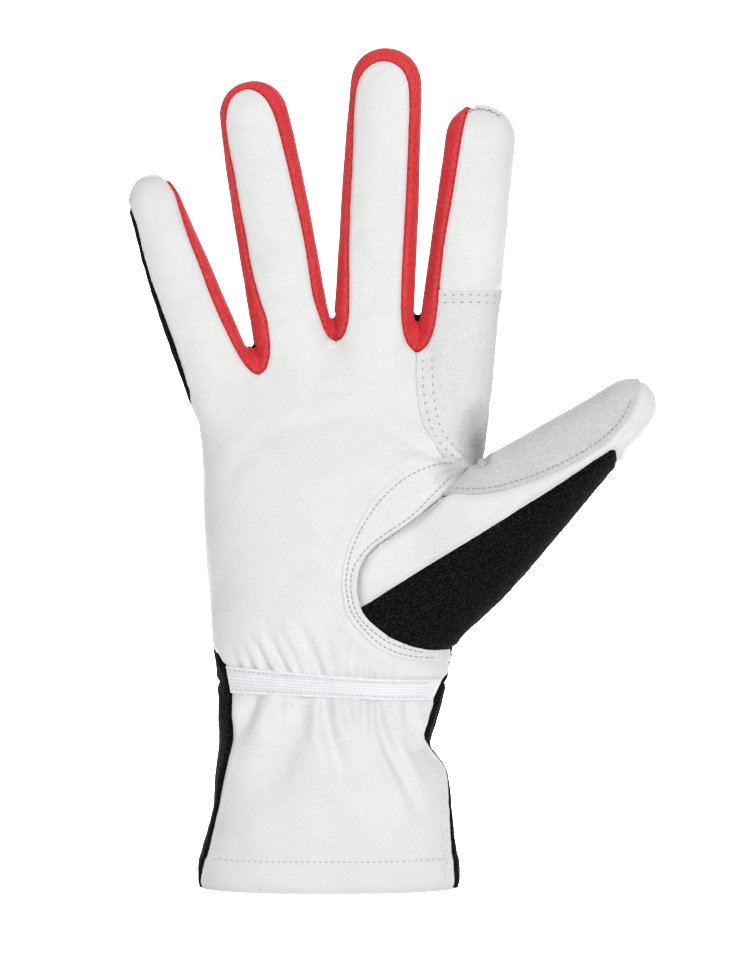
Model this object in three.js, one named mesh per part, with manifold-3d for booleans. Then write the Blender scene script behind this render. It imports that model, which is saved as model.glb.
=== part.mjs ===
// A right-hand cross-country ski glove in the shape of the hand that wears it: a leather palm,
// stretch side walls between the fingers, a stretch back, a sewn-in thumb and a short gauntlet.
// Millimetres, +Z towards the fingertips, palm facing -Y, thumb towards +X.
// The origin is the middle of the cuff opening, in the plane of the hem.
import * as THREE from 'three';
import { mergeVertices } from 'three/addons/utils/BufferGeometryUtils.js';
import Module from 'manifold-3d';

const wasm = await Module();
wasm.setup();

// Driving dimensions
const WALL = 1.5; // leather or stretch cloth with its lining
const SEAM_GAP = 0.3; // between two panels that are sewn together
// Sides round each tube: the outer surface's, and the hollow's
const TRUNK_SIDES = { outer: 34, inner: 20 };
const FINGER_SIDES = { outer: 12, inner: 8 };
const THUMB_SIDES = { outer: 14, inner: 10 };
const FAR = 90; // past the palm and the back, for cutting prisms
const ASIDE = 60; // past both edges of the hand below the thumb
const UNDER = -20; // below the hem and the hollow's end
// The leather wraps the edge of the hand and ends on a slanted plane, the side walls on another:
// y at z = 0 and how much it falls per mm of height, as the fingers lean towards the palm.
const LEATHER_EDGE = { y: 3, fall: 0.025 };
const BACK_EDGE = { y: 12.7, fall: 0.058 };
const THUMB_REAR_Y = -10.5; // the thumb's stretch back begins here
const ROOT_REAR_Y = 0; // the palm's part of the thumb ends here
const HAND_SQUARENESS = 2.4; // exponent of the rounded sections, 2 is an ellipse
const BELOW_HEM = 10; // the hollow runs out past the hem
const GRID = 0.01; // every corner of a cut solid is moved onto this grid
const NEEDLE = 0.004; // a face lower than this is turned into its neighbour
const NEEDLE_ROUNDS = 6;

// Cuff and palm, from the hem to the knuckles. left, right, palm and back are the outer surface.
// seamLeft and seamRight are how far inside the outline the leather ends, less than 0 where it wraps.
const TRUNK = [
  { z: 0, left: -39.6, right: 38.9, palm: -22.0, back: 22.0, seamLeft: 0.6, seamRight: 0.7 },
  { z: 6, left: -39.6, right: 38.9, palm: -22.0, back: 22.0, seamLeft: 0.9, seamRight: 0.9 },
  { z: 15, left: -37.6, right: 37.3, palm: -21.5, back: 21.5, seamLeft: 1.3, seamRight: 0.6 },
  { z: 24, left: -35.4, right: 36.2, palm: -21.0, back: 21.0, seamLeft: 1.4, seamRight: 0.5 },
  { z: 33, left: -34.8, right: 35.0, palm: -20.5, back: 20.5, seamLeft: 3.2, seamRight: 0.5 },
  { z: 38, left: -34.2, right: 32.6, palm: -20.0, back: 20.0, seamLeft: 4.1, seamRight: 0.6 },
  { z: 42, left: -33.7, right: 29.5, palm: -19.7, back: 19.7, seamLeft: 4.0, seamRight: 0.9 },
  { z: 46, left: -33.6, right: 30.8, palm: -19.3, back: 19.3, seamLeft: 3.8, seamRight: 2.2 },
  { z: 50, left: -33.9, right: 32.2, palm: -19.0, back: 19.0, seamLeft: 3.5, seamRight: 2.6 },
  { z: 55, left: -33.8, right: 33.4, palm: -18.5, back: 18.5, seamLeft: 3.5, seamRight: 2.2 },
  { z: 61, left: -34.0, right: 34.6, palm: -18.5, back: 18.5, seamLeft: 3.1, seamRight: 1.0 },
  { z: 67, left: -34.6, right: 35.6, palm: -19.0, back: 18.5, seamLeft: 1.2, seamRight: 0.5 },
  { z: 75, left: -35.6, right: 37.5, palm: -19.5, back: 18.3, seamLeft: -4.0, seamRight: -4.0 },
  { z: 87, left: -36.2, right: 39.5, palm: -20.0, back: 18.0, seamLeft: -4.0, seamRight: -4.0 },
  { z: 100, left: -37.4, right: 41.5, palm: -19.5, back: 17.5, seamLeft: -4.0, seamRight: -4.0 },
  { z: 125, left: -38.2, right: 45.3, palm: -17.5, back: 16.0, seamLeft: -4.0, seamRight: -4.0 },
  { z: 135, left: -39.1, right: 46.8, palm: -14.4, back: 14.2, seamLeft: -4.0, seamRight: -4.0 },
  { z: 144, left: -40.6, right: 47.6, palm: -11.6, back: 11.6, seamLeft: -4.0, seamRight: -4.0 },
];
// The rounded top of the palm that makes the crotches: share of the way up, and of the full depth.
const TRUNK_TOP = [
  { up: 0.45, deep: 0.9 },
  { up: 0.72, deep: 0.72 },
  { up: 0.9, deep: 0.46 },
  { up: 1.0, deep: 0.12 },
];
// Height of the top of the palm across the hand: its ends and the three crotches.
const CROTCH_LINE = [
  { x: -44, z: 148 },
  { x: -21.5, z: 160.5 },
  { x: 1.8, z: 166 },
  { x: 26.2, z: 169 },
  { x: 50, z: 150 },
];

// Fingers. half is half the width and deep half the depth, at the base and at the tip. bow bends the
// axis sideways, curl brings the tip forward. in* are the widths of side wall seen from the palm,
// less than 0 where the palm leather wraps over.
const FINGERS = [
  { name: 'little', baseX: -29.3, baseZ: 142, tipX: -53.9, tipZ: 212.3, bow: -1.5, halfBase: 10.8, halfTip: 9.5,
    deepBase: 9.4, deepTip: 8.0, curl: 5, inLeft: 1.3, inTip: -4.0, inRight: 2.0 },
  { name: 'ring', baseX: -8.4, baseZ: 147, tipX: -24.7, tipZ: 240.8, bow: 0, halfBase: 12.0, halfTip: 11.3,
    deepBase: 10.4, deepTip: 8.8, curl: 6, inLeft: 1.9, inTip: 2.0, inRight: 3.6 },
  { name: 'middle', baseX: 11.6, baseZ: 147, tipX: 17.1, tipZ: 250.6, bow: 0, halfBase: 12.0, halfTip: 11.2,
    deepBase: 10.6, deepTip: 9.0, curl: 6, inLeft: 2.3, inTip: 3.8, inRight: 3.0 },
  { name: 'index', baseX: 36.0, baseZ: 147, tipX: 45.9, tipZ: 233.8, bow: 0, halfBase: 12.0, halfTip: 10.4,
    deepBase: 10.6, deepTip: 9.0, curl: 5, inLeft: 4.7, inTip: -4.0, inRight: -5.0 },
];
// Stations up a finger as a share of its length to where the tip's cap begins, then over the cap.
const SHAFT_STATIONS = [0, 0.25, 0.5, 0.75, 1];
const CAP_STATIONS = [0.45, 0.75, 0.93];
const CAP_LENGTH = 10.5;

// The lines between two fingers' side walls, and where a wall ends on the finger's own middle.
const LITTLE_TO_RING = [[-21.3, 137], [-21.3, 156], [-29, 177], [-36, 204], [-40, 219]];
const RING_TO_MIDDLE = [[1.8, 137], [1.8, 165], [0, 177], [-1.5, 204], [-4, 237], [-4, 259]];
const MIDDLE_TO_INDEX = [
  [26.1, 137], [26.1, 160], [25.7, 172], [27, 190], [28, 204], [30, 227], [32, 242], [32, 259],
];
const LITTLE_MIDDLE = [[-50.7, 219], [-51.5, 210], [-42, 177], [-32, 145], [-32, 137]];
const INDEX_MIDDLE = [[41.7, 242], [41.7, 233], [40, 212], [36, 177], [33, 147], [33, 137]];
const SIDE_REGIONS = {
  little: [...LITTLE_TO_RING, ...LITTLE_MIDDLE],
  ring: [...LITTLE_TO_RING, [-40, 262], ...RING_TO_MIDDLE.slice().reverse()],
  middle: [...RING_TO_MIDDLE, ...MIDDLE_TO_INDEX.slice().reverse()],
  index: [...MIDDLE_TO_INDEX.slice(0, -1), ...INDEX_MIDDLE],
};
const FULL = [[-200, -50], [200, -50], [200, 300], [-200, 300]];

// Thumb: along is measured back from the middle of its tip. deep is half its depth, y its middle.
const THUMB_TIP = { x: 88.4, z: 143.3 };
const THUMB_ANGLE = THREE.MathUtils.degToRad(40);
const THUMB = [
  { along: -86, half: 21.5, deep: 11.5, y: -3.0 },
  { along: -72, half: 20.6, deep: 13.0, y: -6.0 },
  { along: -58, half: 19.0, deep: 13.2, y: -8.6 },
  { along: -40, half: 15.8, deep: 12.2, y: -11.0 },
  { along: -20, half: 12.1, deep: 10.6, y: -13.0 },
  { along: -6, half: 9.5, deep: 9.4, y: -14.0 },
  { along: 0, half: 8.7, deep: 8.8, y: -14.4 },
];
const THUMB_CAP = 9.0;
const CUFF_BACK_TOP = 61;

// The elastic's edges at its two ends, and the x of those ends.
const ELASTIC = { leftLow: 57.8, leftHigh: 66, rightLow: 56.2, rightHigh: 63, atLeft: -30, atRight: 33 };
// Gathers that the elastic draws into the leather: x at the elastic and x and z where each fades out.
const GATHERS = [
  { from: -24, to: -30, end: 81, deep: 0.9, wide: 2.6 },
  { from: -15, to: -24, end: 83, deep: 1.0, wide: 2.8 },
  { from: -6, to: -12, end: 81, deep: 0.9, wide: 2.8 },
  { from: 6, to: 3, end: 77, deep: 0.7, wide: 2.8 },
  { from: 17, to: 18, end: 73, deep: 0.6, wide: 2.8 },
  { from: -23, to: -30, end: 27, deep: 0.9, wide: 2.8 },
  { from: -11, to: -22, end: 19, deep: 1.1, wide: 3.0 },
  { from: -1, to: 1, end: 29, deep: 1.3, wide: 2.4 },
  { from: 11, to: 17, end: 23, deep: 1.1, wide: 2.6 },
  { from: 21, to: 27, end: 29, deep: 0.9, wide: 2.6 },
];

// Seams seen from the palm side, as x and z.
const INDEX_SEAM = [[26, 178], [70, 178]];
const CROTCH_SEAM = [
  [-34, 150.5], [-25, 154.8], [-20, 153.8], [-15.5, 156], [-8, 161], [-2, 163.9], [2.4, 163],
  [6.5, 163.6], [14, 163], [22, 160.6], [26, 159.2], [30, 160], [38, 157],
];
const SUEDE_SEAM = [
  [26.2, 163], [26.4, 160], [26.1, 153], [27, 145.5], [30, 138], [35.1, 131.4], [40.8, 127.5], [46.8, 125.7],
];
const GUSSET_OUTER = [
  [43.2, 126.3], [33, 125.1], [22.5, 119.4], [14.4, 110.4], [8.4, 99.9], [6, 90], [6.6, 82.5], [9.6, 77.1],
];
const GUSSET_INNER = [
  [11.4, 78.9], [9.3, 85.5], [9.6, 91.5], [12.6, 97.5], [19.5, 103.5], [27, 108.6], [33, 115.5],
  [37.5, 121.5], [44.4, 125.7],
];
const THUMB_ROOT = [
  [9.3, 85.5], [11.4, 78.9], [16.5, 73.5], [24, 69.9], [33, 68.7], [39, 68.9],
];
const PAD_SEAM = [
  [30, 117.9], [37.5, 118.2], [48, 119.1], [57, 120.9], [66, 124.5], [75, 129], [84, 134.4], [90.6, 140.1],
  [93, 144.9], [92.4, 150.6],
];
const THUMB_BACK_SEAM = [
  [9.9, 83.1], [27, 93.6], [45, 105.3], [63, 117.3], [81, 129], [84.6, 126.9],
];

// Where the back of the thumb joins the hand, and points that close a region past the silhouette.
const THUMB_REAR_SEAM = [[41, 57], [41.5, 87], [43, 100], [45, 113], [47, 127]];
const ROUND_THUMB = [[47, 131], [75, 162], [115, 172], [115, 127], [75, 72]];
const THUMB_BELOW = [39, 57];
const OVER_PAD = [[92, 172], [70, 162], [46.5, 133], [30, 133]];
const UNDER_THUMB = [[110, 115], [75, 57], [2, 57], [2, 77.9]];
const OVER_INDEX = [[70, 250], [30, 250]];
const BESIDE_SUEDE = [[62, 125]];
const PALM_TOP_LEFT = [-46, 144];
const PALM_TOP_RIGHT = [50.5, 147];

const MATERIALS = {
  leather: { color: new THREE.Color(0.9, 0.9, 0.9), roughness: 0.62 },
  suede: { color: new THREE.Color(0.76, 0.76, 0.72), roughness: 0.95 },
  red_stretch: { color: new THREE.Color(0.72, 0.05, 0.06), roughness: 0.8 },
  black_stretch: { color: new THREE.Color(0.012, 0.013, 0.014), roughness: 0.9 },
  elastic: { color: new THREE.Color(0.93, 0.93, 0.95), roughness: 0.55 },
};

const MADE_OF = {
  palm_panel: 'leather',
  index_tip_panel: 'leather',
  index_reinforcement: 'suede',
  thumb_pad_patch: 'suede',
  thumb_front_panel: 'leather',
  thumb_back_panel: 'black_stretch',
  thumb_gusset: 'leather',
  finger_side_little: 'red_stretch',
  finger_side_ring: 'red_stretch',
  finger_side_middle: 'red_stretch',
  finger_side_index: 'red_stretch',
  back_panel: 'black_stretch',
  cuff_front: 'leather',
  cuff_back: 'black_stretch',
  wrist_elastic: 'elastic',
};

const smooth = THREE.MathUtils.smoothstep;
const lerp = THREE.MathUtils.lerp;

// Value of a table's column at any z, on straight lines between its rows.
function column(rows, key, at, name) {
  if (at <= rows[0][key]) return rows[0][name];
  for (let i = 1; i < rows.length; i++) {
    const [a, b] = [rows[i - 1], rows[i]];
    if (at <= b[key]) return lerp(a[name], b[name], (at - a[key]) / (b[key] - a[key]));
  }
  return rows[rows.length - 1][name];
}

// Point on a rounded section with its own depth towards the palm and towards the back.
function roundedPoint(turn, half, palmDeep, backDeep) {
  const power = 2 / HAND_SQUARENESS;
  const [c, s] = [Math.cos(turn), Math.sin(turn)];
  return {
    across: half * Math.sign(c) * Math.abs(c) ** power,
    deep: (s < 0 ? palmDeep : backDeep) * Math.sign(s) * Math.abs(s) ** power,
  };
}

// How far the elastic's gathers push the leather in at a point of the palm side.
function gatherDepth(x, z) {
  const share = (x - ELASTIC.atLeft) / (ELASTIC.atRight - ELASTIC.atLeft);
  const low = lerp(ELASTIC.leftLow, ELASTIC.rightLow, share);
  const high = lerp(ELASTIC.leftHigh, ELASTIC.rightHigh, share);
  let depth = 0;
  for (const g of GATHERS) {
    const start = g.end > high ? high : low;
    const along = (z - start) / (g.end - start);
    if (along < 0 || along > 1) continue;
    const off = (x - lerp(g.from, g.to, along)) / (g.wide * (1 + along));
    depth += g.deep * Math.sin(Math.PI * Math.min(1, along + 0.25)) * Math.exp(-off * off);
  }
  return depth;
}

// Cuff and palm as one closed tube, its surface set in by inset.
function trunkRings(inset) {
  const rings = [];
  const ring = (row, deepShare, heightOf) => {
    const middle = (row.left + row.right) / 2;
    const half = (row.right - row.left) / 2 - inset;
    const points = [];
    const sides = inset ? TRUNK_SIDES.inner : TRUNK_SIDES.outer;
    for (let i = 0; i < sides; i++) {
      const turn = (2 * Math.PI * i) / sides;
      const p = roundedPoint(turn, half, -row.palm - inset, row.back - inset);
      const x = middle + p.across;
      const z = heightOf(x);
      const drawnIn = p.deep < 0 ? Math.min(gatherDepth(x, z), -p.deep) : 0;
      points.push(new THREE.Vector3(x, (p.deep + drawnIn) * deepShare, z));
    }
    rings.push(points);
  };
  if (inset) ring(TRUNK[0], 1, () => -BELOW_HEM);
  for (const row of TRUNK) ring(row, 1, () => row.z);
  const last = TRUNK[TRUNK.length - 1];
  for (const top of TRUNK_TOP)
    ring(last, top.deep, (x) => lerp(last.z, column(CROTCH_LINE, 'x', x, 'z') - inset, top.up));
  return rings;
}

// Middle, sideways direction and half width of a finger at a share of its shaft.
function fingerStation(f, share) {
  const axis = new THREE.Vector2(f.tipX - f.baseX, f.tipZ - f.baseZ);
  const shaft = (axis.length() - CAP_LENGTH) / axis.length();
  const t = share * shaft;
  const bow = f.bow * 4 * t * (1 - t);
  return {
    x: f.baseX + axis.x * t + bow,
    y: -f.curl * t * t,
    z: f.baseZ + axis.y * t,
    along: axis.clone().normalize(),
    half: lerp(f.halfBase, f.halfTip, share),
    deep: lerp(f.deepBase, f.deepTip, share),
  };
}

// Rings from the base over the cap. Stations past 1 are shares of the cap.
function fingerRings(f, inset) {
  const rings = [];
  const ring = (s, half, deep, ahead) => {
    const points = [];
    const sides = inset ? FINGER_SIDES.inner : FINGER_SIDES.outer;
    for (let i = 0; i < sides; i++) {
      const p = roundedPoint((2 * Math.PI * i) / sides, half, deep, deep);
      points.push(new THREE.Vector3(
        s.x + s.along.x * ahead + s.along.y * p.across,
        s.y + p.deep,
        s.z + s.along.y * ahead - s.along.x * p.across,
      ));
    }
    rings.push(points);
  };
  for (const share of SHAFT_STATIONS) {
    const s = fingerStation(f, share);
    ring(s, s.half - inset, s.deep - inset, 0);
  }
  const s = fingerStation(f, 1);
  const cap = CAP_LENGTH - inset;
  for (const up of CAP_STATIONS) {
    const narrow = Math.sqrt(1 - up * up);
    ring(s, (s.half - inset) * narrow, (s.deep - inset) * narrow, cap * up);
  }
  return { rings, end: new THREE.Vector3(s.x + s.along.x * cap, s.y, s.z + s.along.y * cap) };
}

function thumbRings(inset) {
  const along = { x: Math.cos(THUMB_ANGLE), z: Math.sin(THUMB_ANGLE) };
  const rings = [];
  const ring = (ahead, half, deep, y) => {
    const points = [];
    const sides = inset ? THUMB_SIDES.inner : THUMB_SIDES.outer;
    for (let i = 0; i < sides; i++) {
      const p = roundedPoint((2 * Math.PI * i) / sides, half, deep, deep);
      points.push(new THREE.Vector3(
        THUMB_TIP.x + along.x * ahead + along.z * p.across,
        y + p.deep,
        THUMB_TIP.z + along.z * ahead - along.x * p.across,
      ));
    }
    rings.push(points);
  };
  for (const row of THUMB) ring(row.along, row.half - inset, row.deep - inset, row.y);
  const last = THUMB[THUMB.length - 1];
  const cap = THUMB_CAP - inset;
  for (const up of CAP_STATIONS) {
    const narrow = Math.sqrt(1 - up * up);
    ring(cap * up, (last.half - inset) * narrow, (last.deep - inset) * narrow, last.y);
  }
  const end = new THREE.Vector3(THUMB_TIP.x + along.x * cap, last.y, THUMB_TIP.z + along.z * cap);
  return { rings, end };
}

function solidOf(geometry) {
  geometry.deleteAttribute('normal');
  geometry.deleteAttribute('uv');
  const merged = mergeVertices(geometry, 1e-4);
  return new wasm.Manifold(new wasm.Mesh({
    numProp: 3,
    vertProperties: new Float32Array(merged.attributes.position.array),
    triVerts: new Uint32Array(merged.index.array),
  }));
}

// A closed tube through rings of points, each end closed to a middle point.
function tube(rings, end) {
  const sides = rings[0].length;
  const middleOf = (ring) => ring.reduce((sum, p) => sum.add(p), new THREE.Vector3()).divideScalar(sides);
  const points = [...rings.flat(), middleOf(rings[0]), end || middleOf(rings[rings.length - 1])];
  const [first, last] = [points.length - 2, points.length - 1];
  const top = (rings.length - 1) * sides;
  const index = [];
  for (let i = 0; i < sides; i++) {
    const j = (i + 1) % sides;
    index.push(first, j, i, last, top + i, top + j);
    for (let k = 0; k < top; k += sides) index.push(k + i, k + j, k + sides + j, k + i, k + sides + j, k + sides + i);
  }
  const geometry = new THREE.BufferGeometry().setFromPoints(points);
  geometry.setIndex(index);
  const made = solidOf(geometry.toNonIndexed());
  if (made.volume() > 0) return made;
  for (let i = 0; i < index.length; i += 3) [index[i + 1], index[i + 2]] = [index[i + 2], index[i + 1]];
  geometry.setIndex(index);
  return solidOf(geometry.toNonIndexed());
}

function handForm(inset) {
  let form = tube(trunkRings(inset));
  for (const f of FINGERS) {
    const { rings, end } = fingerRings(f, inset);
    form = form.add(tube(rings, end));
  }
  const { rings, end } = thumbRings(inset);
  return form.add(tube(rings, end));
}

// Moves an outline of [x, z] points outwards by a distance, less than 0 for inwards.
function grown(outline, distance) {
  const clockwise = THREE.ShapeUtils.isClockWise(outline.map(([x, z]) => new THREE.Vector2(x, z)));
  const side = clockwise ? -1 : 1;
  return outline.map((p, i) => {
    const before = outline[(i + outline.length - 1) % outline.length];
    const after = outline[(i + 1) % outline.length];
    const a = new THREE.Vector2(p[0] - before[0], p[1] - before[1]).normalize();
    const b = new THREE.Vector2(after[0] - p[0], after[1] - p[1]).normalize();
    const normal = new THREE.Vector2(a.y + b.y, -a.x - b.x).normalize();
    const stretch = Math.min(2, 1 / Math.max(0.3, normal.dot(new THREE.Vector2(a.y, -a.x))));
    return [p[0] + normal.x * distance * side * stretch, p[1] + normal.y * distance * side * stretch];
  });
}

// An outline of [x, z] points made solid from y = near to far, each a number or a slanted plane.
function prism(outline, near, far) {
  const shape = new THREE.Shape(outline.map(([x, z]) => new THREE.Vector2(x, z)));
  const geometry = new THREE.ExtrudeGeometry(shape, { depth: 1, bevelEnabled: false });
  geometry.rotateX(Math.PI / 2);
  const place = geometry.attributes.position;
  for (let i = 0; i < place.count; i++) {
    const plane = place.getY(i) > -0.5 ? far : near;
    place.setY(i, plane.fall ? plane.y - plane.fall * place.getZ(i) : plane);
  }
  return solidOf(geometry);
}

// A plane, slanted or not, moved towards the back.
function pushed(plane, by) {
  return plane.fall ? { y: plane.y + by, fall: plane.fall } : plane + by;
}

// A round curve through a few seam points.
function curved(points, steps = 2) {
  const curve = new THREE.CatmullRomCurve3(points.map(([x, z]) => new THREE.Vector3(x, 0, z)), false, 'centripetal');
  return curve.getPoints(points.length * steps).map((p) => [p.x, p.z]);
}

// The finger's outline seen from the palm, moved in by the width of side wall that shows there.
function fingerPanel(f, insets) {
  const side = (sign) => SHAFT_STATIONS.map((share) => {
    const s = fingerStation(f, share);
    return [s.x + sign * s.along.y * s.half, s.z - sign * s.along.x * s.half];
  });
  const s = fingerStation(f, 1);
  const cap = [];
  const steps = 10;
  for (let i = 1; i < steps; i++) {
    const turn = Math.PI * (1 - i / steps);
    const [across, ahead] = [s.half * Math.cos(turn), CAP_LENGTH * Math.sin(turn)];
    cap.push([s.x + s.along.x * ahead + s.along.y * across, s.z + s.along.y * ahead - s.along.x * across]);
  }
  const line = [...side(-1), ...cap, ...side(1).reverse()];
  return line.map((p, i) => {
    const before = line[Math.max(0, i - 1)];
    const after = line[Math.min(line.length - 1, i + 1)];
    const along = new THREE.Vector2(after[0] - before[0], after[1] - before[1]).normalize();
    const capShare = (i - SHAFT_STATIONS.length + 1) / steps;
    const inset = capShare <= 0.5
      ? lerp(insets.left, insets.tip, smooth(capShare, 0, 0.5))
      : lerp(insets.tip, insets.right, smooth(capShare, 0.5, 1));
    return [p[0] + along.y * inset, p[1] - along.x * inset];
  });
}

// The hand's leather side, from a height to the knuckles, without the fingers.
function trunkPanel(from, to, top) {
  const heights = [from, ...TRUNK.map((r) => r.z).filter((z) => z > from + 1 && z < to - 1), to];
  const edge = (name, seam, sign) => heights.map((z) => [
    column(TRUNK, 'z', z, name) + sign * column(TRUNK, 'z', z, seam), z,
  ]);
  return [...edge('left', 'seamLeft', 1), ...top, ...edge('right', 'seamRight', -1).reverse()];
}

// Faces of a cut solid on a grid of GRID mm: corners that fall together are one corner, faces that
// close up are left out, and a needle's long edge is turned the other way.
function faces(solid) {
  const mesh = solid.getMesh();
  const snapped = Array.from(mesh.vertProperties, (v) => Math.round(v / GRID) * GRID);
  const geometry = new THREE.BufferGeometry();
  geometry.setAttribute('position', new THREE.Float32BufferAttribute(snapped, 3));
  geometry.setIndex([...mesh.triVerts]);
  const merged = mergeVertices(geometry, GRID / 10);
  const place = merged.attributes.position;
  const corner = Array.from({ length: place.count }, (_, i) => new THREE.Vector3().fromBufferAttribute(place, i));
  const ids = merged.index.array;
  let list = [];
  for (let i = 0; i < ids.length; i += 3) list.push([ids[i], ids[i + 1], ids[i + 2]]);
  const open = ([a, b, c]) => a !== b && b !== c && a !== c;
  list = list.filter(open);
  const owner = new Map();
  const own = (n) => list[n].forEach((v, i) => owner.set(`${v} ${list[n][(i + 1) % 3]}`, n));
  list.forEach((_, n) => own(n));
  for (let round = 0; round < NEEDLE_ROUNDS; round++) {
    list.forEach((t, n) => {
      const lengths = t.map((v, i) => corner[v].distanceTo(corner[t[(i + 1) % 3]]));
      const i = lengths.indexOf(Math.max(...lengths));
      const [a, b, c] = [t[i], t[(i + 1) % 3], t[(i + 2) % 3]];
      const area = new THREE.Triangle(corner[a], corner[b], corner[c]).getArea();
      if ((2 * area) / lengths[i] > NEEDLE) return;
      const other = owner.get(`${b} ${a}`);
      const d = list[other].find((v) => v !== a && v !== b);
      if (d === c || owner.has(`${c} ${d}`) || owner.has(`${d} ${c}`)) return;
      owner.delete(`${a} ${b}`);
      owner.delete(`${b} ${a}`);
      list[n] = [a, d, c];
      list[other] = [d, b, c];
      own(n);
      own(other);
    });
  }
  return { corner, list };
}

// Of a cut solid's separate bodies, the largest: a cut can leave specks beside it.
function largestBody({ corner, list }) {
  const root = corner.map((_, i) => i);
  const find = (v) => {
    while (root[v] !== v) v = root[v] = root[root[v]];
    return v;
  };
  for (const [a, b, c] of list) {
    root[find(a)] = find(b);
    root[find(b)] = find(c);
  }
  const volumes = new Map();
  for (const t of list) {
    const volume = corner[t[0]].dot(new THREE.Vector3().crossVectors(corner[t[1]], corner[t[2]]));
    volumes.set(find(t[0]), (volumes.get(find(t[0])) || 0) + volume);
  }
  const [best] = [...volumes].reduce((a, b) => (b[1] > a[1] ? b : a));
  return list.filter((t) => find(t[0]) === best);
}

const glove = new THREE.Group();
function addPanel(name, material, solid) {
  const { corner, list } = faces(solid);
  const geometry = new THREE.BufferGeometry().setFromPoints(corner);
  geometry.setIndex(largestBody({ corner, list }).flat());
  const finish = new THREE.MeshStandardMaterial({ metalness: 0, ...MATERIALS[material] });
  const part = new THREE.Mesh(geometry.toNonIndexed(), finish);
  part.geometry.computeVertexNormals();
  part.name = name;
  glove.add(part);
}

// Regions of the outline, seen from the palm. They run past the silhouette.
const thumbRegion = [...curved(GUSSET_INNER.slice(1)), ...ROUND_THUMB, THUMB_BELOW,
  ...curved(THUMB_ROOT).slice(1).reverse()];
const thumbRearRegion = [...THUMB_REAR_SEAM, ...ROUND_THUMB];
const padRegion = [...curved(PAD_SEAM), ...OVER_PAD];
const thumbBackRegion = [...curved(THUMB_BACK_SEAM), ...UNDER_THUMB];
// A level edge of the elastic, run out past both sides of the hand.
const elasticEdge = (left, right) => [
  [-ASIDE, left], [ELASTIC.atLeft, left], [ELASTIC.atRight, right], [ASIDE, right],
];
const lowEdge = elasticEdge(ELASTIC.leftLow, ELASTIC.rightLow);
const highEdge = elasticEdge(ELASTIC.leftHigh, ELASTIC.rightHigh);
const belowElastic = [[-ASIDE, UNDER], [ASIDE, UNDER], ...lowEdge.slice().reverse()];
const elasticRegion = [...lowEdge, ...highEdge.slice().reverse()];
const belowHem = [[-ASIDE, UNDER], [ASIDE, UNDER], [ASIDE, 0], [-ASIDE, 0]];
const cuffBackRegion = [[-ASIDE, UNDER], [ASIDE, UNDER], [ASIDE, CUFF_BACK_TOP], [-ASIDE, CUFF_BACK_TOP]];
const tipRegion = [...INDEX_SEAM, ...OVER_INDEX];
const suedeRegion = [...curved(SUEDE_SEAM), ...BESIDE_SUEDE, ...INDEX_SEAM.slice().reverse()];
const gussetRegion = [...curved(GUSSET_OUTER), ...curved(GUSSET_INNER)];
const leatherTop = [PALM_TOP_LEFT, ...CROTCH_SEAM, PALM_TOP_RIGHT];

const through = (outline, near = -FAR, far = FAR) => (edge) =>
  prism(grown(outline, edge), pushed(near, -edge), pushed(far, edge));
const joined = (...forms) => (edge) => forms.map((form) => form(edge)).reduce((a, b) => a.add(b));

// What a form holds of a solid, and the solid without it, with half a seam gap on each side.
function cut(solid, form) {
  return [solid.intersect(form(-SEAM_GAP / 2)), solid.subtract(form(SEAM_GAP / 2))];
}

// The leather side with all four fingers, up to where it turns over the edge of the hand.
function leatherSide(edge) {
  const far = pushed(LEATHER_EDGE, edge);
  let form = prism(grown(trunkPanel(-BELOW_HEM / 2, 144, leatherTop), edge), -FAR, far);
  for (const f of FINGERS)
    form = form.add(prism(
      fingerPanel(f, { left: f.inLeft - edge, tip: f.inTip - edge, right: f.inRight - edge }), -FAR, far,
    ));
  return form;
}

const parts = {};
let hand = handForm(0).subtract(handForm(WALL)).subtract(prism(belowHem, -FAR, FAR));
let thumb;
let leather;
let stretch;
[thumb, hand] = cut(hand, joined(through(thumbRegion, -FAR, ROOT_REAR_Y), through(thumbRearRegion)));
[leather, stretch] = cut(hand, leatherSide);
[parts.cuff_front, leather] = cut(leather, through(belowElastic));
[parts.wrist_elastic, leather] = cut(leather, through(elasticRegion));
[parts.thumb_gusset, leather] = cut(leather, through(gussetRegion));
[parts.index_tip_panel, leather] = cut(leather, through(tipRegion));
[parts.index_reinforcement, parts.palm_panel] = cut(leather, through(suedeRegion));
[parts.cuff_back, stretch] = cut(stretch, through(cuffBackRegion));
for (const f of FINGERS)
  [parts[`finger_side_${f.name}`], stretch] = cut(stretch, through(SIDE_REGIONS[f.name], -FAR, BACK_EDGE));
parts.back_panel = stretch;
[parts.thumb_back_panel, thumb] = cut(thumb, joined(through(thumbBackRegion), through(FULL, THUMB_REAR_Y, FAR)));
[parts.thumb_pad_patch, parts.thumb_front_panel] = cut(thumb, through(padRegion));

for (const [name, solid] of Object.entries(parts)) addPanel(name, MADE_OF[name], solid);

export default glove;
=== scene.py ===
"""The looks of a right-hand cross-country ski glove, worn by nobody and standing as on a hand.

One skin is lofted from the hand's own tables, joined, drawn in at the seams and the elastic,
and cut along the pattern's seam lines. Tables are in millimetres; meshes are in metres.
"""

import math

import bpy
import numpy as np
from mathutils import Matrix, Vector, bvhtree, kdtree, noise

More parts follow.
